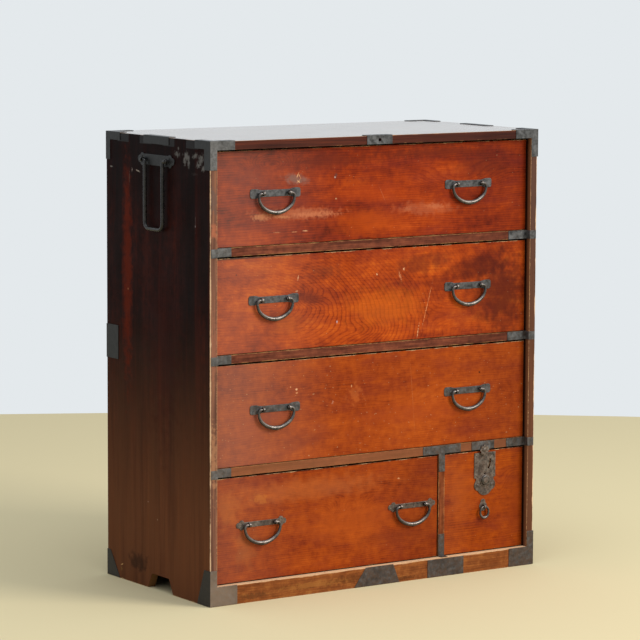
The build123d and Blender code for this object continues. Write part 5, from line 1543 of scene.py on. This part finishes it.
for drawer in ("drawer_1", "drawer_2", "drawer_3", "drawer_4", "safe_drawer"):
    dress(depthwise.material, f"{drawer}_sides")
    dress(lengthwise.material, f"{drawer}_back", f"{drawer}_bottom")


# %% [markdown]
# ## Ironwork
# All of it is soft iron, forged, and blackened by burning raw silk or oil onto it. A century has turned it
# grey-blue where it is dry, brown with rust towards the floor, and a dull bright where hands rub it. So one
# kind of iron takes three finishes: cut sheet; bars rubbed at their rims, with a painted highlight on the
# side facing up and to the front and painted shade on the side away; and the lock plate with its paler dust.

# %% Blackened iron
PAINTED_LIGHT_FROM = (0.25, -0.72, 0.64)


def blackened_iron(name, black, grey, rust, rub, rusty, gloss, metallic, pits=0.5, cloud=11.0, dents=0.35,
                   painted_side_shade=0.78, painted_light=0.0):
    """Blackened iron: cloudy black and grey, rust from the floor up, rims rubbed bright, with painted light:
    shade on the case's sides, a sheen at the left end, a highlight near the floor at the left, and on bars a
    highlight and shade by the way they face.
    """
    material, tree, shader = new_material(name)
    place = place_in_mm(tree)
    axes = add(tree, "SeparateXYZ", (place,)).node.outputs
    clouds = add(tree, "TexNoise", {"Vector": place, "Scale": 1 / cloud, "Detail": 5.0, "Roughness": 0.7})
    skin = add(tree, "ValToRGB", (clouds,), stops=((0.36, black), (0.64, grey)))
    wet = add(tree, "MapRange", {"Value": axes["Z"], "From Min": 0.0, "From Max": 950.0,
                                 "To Min": rusty, "To Max": rusty - 0.34})
    bloom = add(tree, "TexNoise", {"Vector": place, "Scale": 1 / 9, "Detail": 6.0, "Roughness": 0.75})
    amount = add(tree, "Math", (bloom, wet), operation="ADD")
    amount = add(tree, "MapRange", {"Value": amount, "From Min": 0.62, "From Max": 0.92, "To Max": 0.8})
    skin = add(tree, "Mix", {0: amount, UNDER: skin, OVER: colour(rust)}, **COLOURS)
    grain = add(tree, "TexNoise", {"Vector": place, "Scale": 1 / 1.7, "Detail": 3.0})
    specks = add(tree, "MapRange", {"Value": grain, "From Min": 0.64, "From Max": 0.78, "To Max": 0.4})
    skin = add(tree, "Mix", {0: specks, UNDER: skin, OVER: colour(rub)}, **COLOURS)
    round_edge = add(tree, "Bevel", {"Radius": 0.9 * MM}, samples=4)
    flat = add(tree, "NewGeometry", out="Normal")
    rim = add(tree, "VectorMath", (round_edge, flat), out="Value", operation="DOT_PRODUCT")
    rim = add(tree, "MapRange", {"Value": rim, "From Min": 0.995, "From Max": 0.9, "To Max": 0.55})
    rim = add(tree, "Math", (rim, clouds), operation="MULTIPLY")
    skin = add(tree, "Mix", {0: rim, UNDER: skin, OVER: colour(rub)}, **COLOURS)
    # painted light: a bar gets a painted highlight where it faces up and to the front, and painted shade on
    # the side away from that
    if painted_light:
        facing = add(tree, "TexCoord", out="Normal")
        facing = add(tree, "VectorMath", (facing, PAINTED_LIGHT_FROM), out="Value", operation="DOT_PRODUCT")
        bright = add(tree, "MapRange", {"Value": facing, "From Min": 0.72, "From Max": 1.0,
                                        "To Max": painted_light})
        painted_shade = add(tree, "MapRange", {"Value": facing, "From Min": 0.5, "From Max": -0.1, "To Max": 0.8})
        skin = add(tree, "Mix", {0: bright, UNDER: skin, OVER: colour(rub)}, **COLOURS)
        skin = add(tree, "Mix", {0: painted_shade, UNDER: skin, OVER: colour(black)}, **COLOURS)
    # painted shade: iron on the outer faces of the case's sides is darkened towards near black
    side = add(tree, "Math", (axes["X"],), operation="ABSOLUTE")
    outside = add(tree, "MapRange", {"Value": side, "From Min": outer - 0.2, "From Max": outer + 0.4,
                                     "To Max": painted_side_shade})
    # painted sheen: iron at the left end is blended towards a pale grey
    painted_sheen = add(tree, "MapRange", {"Value": axes["X"], "From Min": -260.0, "From Max": -440.0,
                                  "To Max": 0.16})
    skin = add(tree, "Mix", {0: painted_sheen, UNDER: skin, OVER: colour("#8E8C8A")}, **COLOURS)
    patches = add(tree, "TexNoise", {"Vector": place, "Scale": 1 / 34, "Detail": 3.0, "Roughness": 0.6})
    patches = add(tree, "MapRange", {"Value": patches, "From Min": 0.48, "From Max": 0.68, "To Max": 0.6})
    skin = add(tree, "Mix", {0: patches, UNDER: skin, OVER: colour(black)}, **COLOURS)
    # painted highlight: iron near the floor at the left is blended towards a pale brown
    foot = add(tree, "MapRange", {"Value": axes["Z"], "From Min": 130.0, "From Max": 30.0, "To Max": 0.5})
    at_left = add(tree, "MapRange", {"Value": axes["X"], "From Min": -300.0, "From Max": -400.0})
    foot = add(tree, "Math", (foot, at_left), operation="MULTIPLY")
    skin = add(tree, "Mix", {0: foot, UNDER: skin, OVER: colour("#98826F")}, **COLOURS)
    # the painted shade on the case's sides goes over everything else
    skin = add(tree, "Mix", {0: outside, UNDER: skin, OVER: colour("#0C0E11")}, **COLOURS)
    tree.links.new(skin, shader.inputs["Base Color"])
    dull = add(tree, "MapRange", {"Value": clouds, "From Min": 0.3, "From Max": 0.7,
                                  "To Min": gloss[0], "To Max": gloss[1]})
    tree.links.new(dull, shader.inputs["Roughness"])
    shader.inputs["Metallic"].default_value = metallic
    hammered = add(tree, "TexVoronoi", {"Vector": place, "Scale": 1 / 7}, feature="SMOOTH_F1")
    height = add(tree, "Math", (grain, pits, hammered), operation="MULTIPLY_ADD")
    bump = add(tree, "Bump", {"Height": height, "Distance": 0.35 * MM, "Strength": dents,
                              "Normal": round_edge})
    tree.links.new(bump, shader.inputs["Normal"])
    return material


# %% Three irons, and where each one goes
sheet_iron = blackened_iron("blackened_sheet_iron", "#1C1E21", "#5E6064", "#4E3828", "#8C8682",
                            rusty=0.34, gloss=(0.42, 0.58), metallic=0.35, painted_side_shade=0.93)
forged_iron = blackened_iron("rubbed_and_painted_light_forged_iron", "#2A2827", "#625C5A", "#584436", "#B4AAA2",
                             rusty=0.22, gloss=(0.22, 0.34), metallic=0.5, dents=0.12, painted_side_shade=0.7,
                             painted_light=0.42)
lock_iron = blackened_iron("dusty_lock_iron", "#1E1B1C", "#7A7068", "#5C4438", "#D0BFAE",
                           rusty=0.3, gloss=(0.4, 0.55), metallic=0.4, pits=0.9, cloud=8.0)
dress(sheet_iron, "top_corner_irons", "foot_irons", "edge_irons", "rail_straps", "lock_case")
dress(forged_iron, "lock_bolt")
for number in (1, 2, 3, 4):
    plate_iron = lock_iron if number == 4 else sheet_iron
    bpy.data.objects[f"drawer_{number}_back_plates"].data.materials.append(plate_iron)
    bpy.data.objects[f"drawer_{number}_split_pins"].data.materials.append(forged_iron)
bpy.data.objects["carrying_back_plates"].data.materials.append(sheet_iron)
bpy.data.objects["lock_front_plate"].data.materials.append(lock_iron)
for name in ("carrying_split_pins", "left_carrying_handle_bar", "right_carrying_handle_bar", "pull_ring_bar"):
    bpy.data.objects[name].data.materials.append(forged_iron)
for name in ("thumb_knob", "ring_mount_forged"):
    bpy.data.objects[name].data.materials.append(lock_iron)
for piece in bails:
    piece.data.materials.append(forged_iron)
bare_nodes = [name for name, node in frame["nodes"].items() if not node.hide_render
              and any(not slot.material or not slot.material.use_nodes for slot in node.material_slots)]
print("CAD nodes without a finish:", bare_nodes)
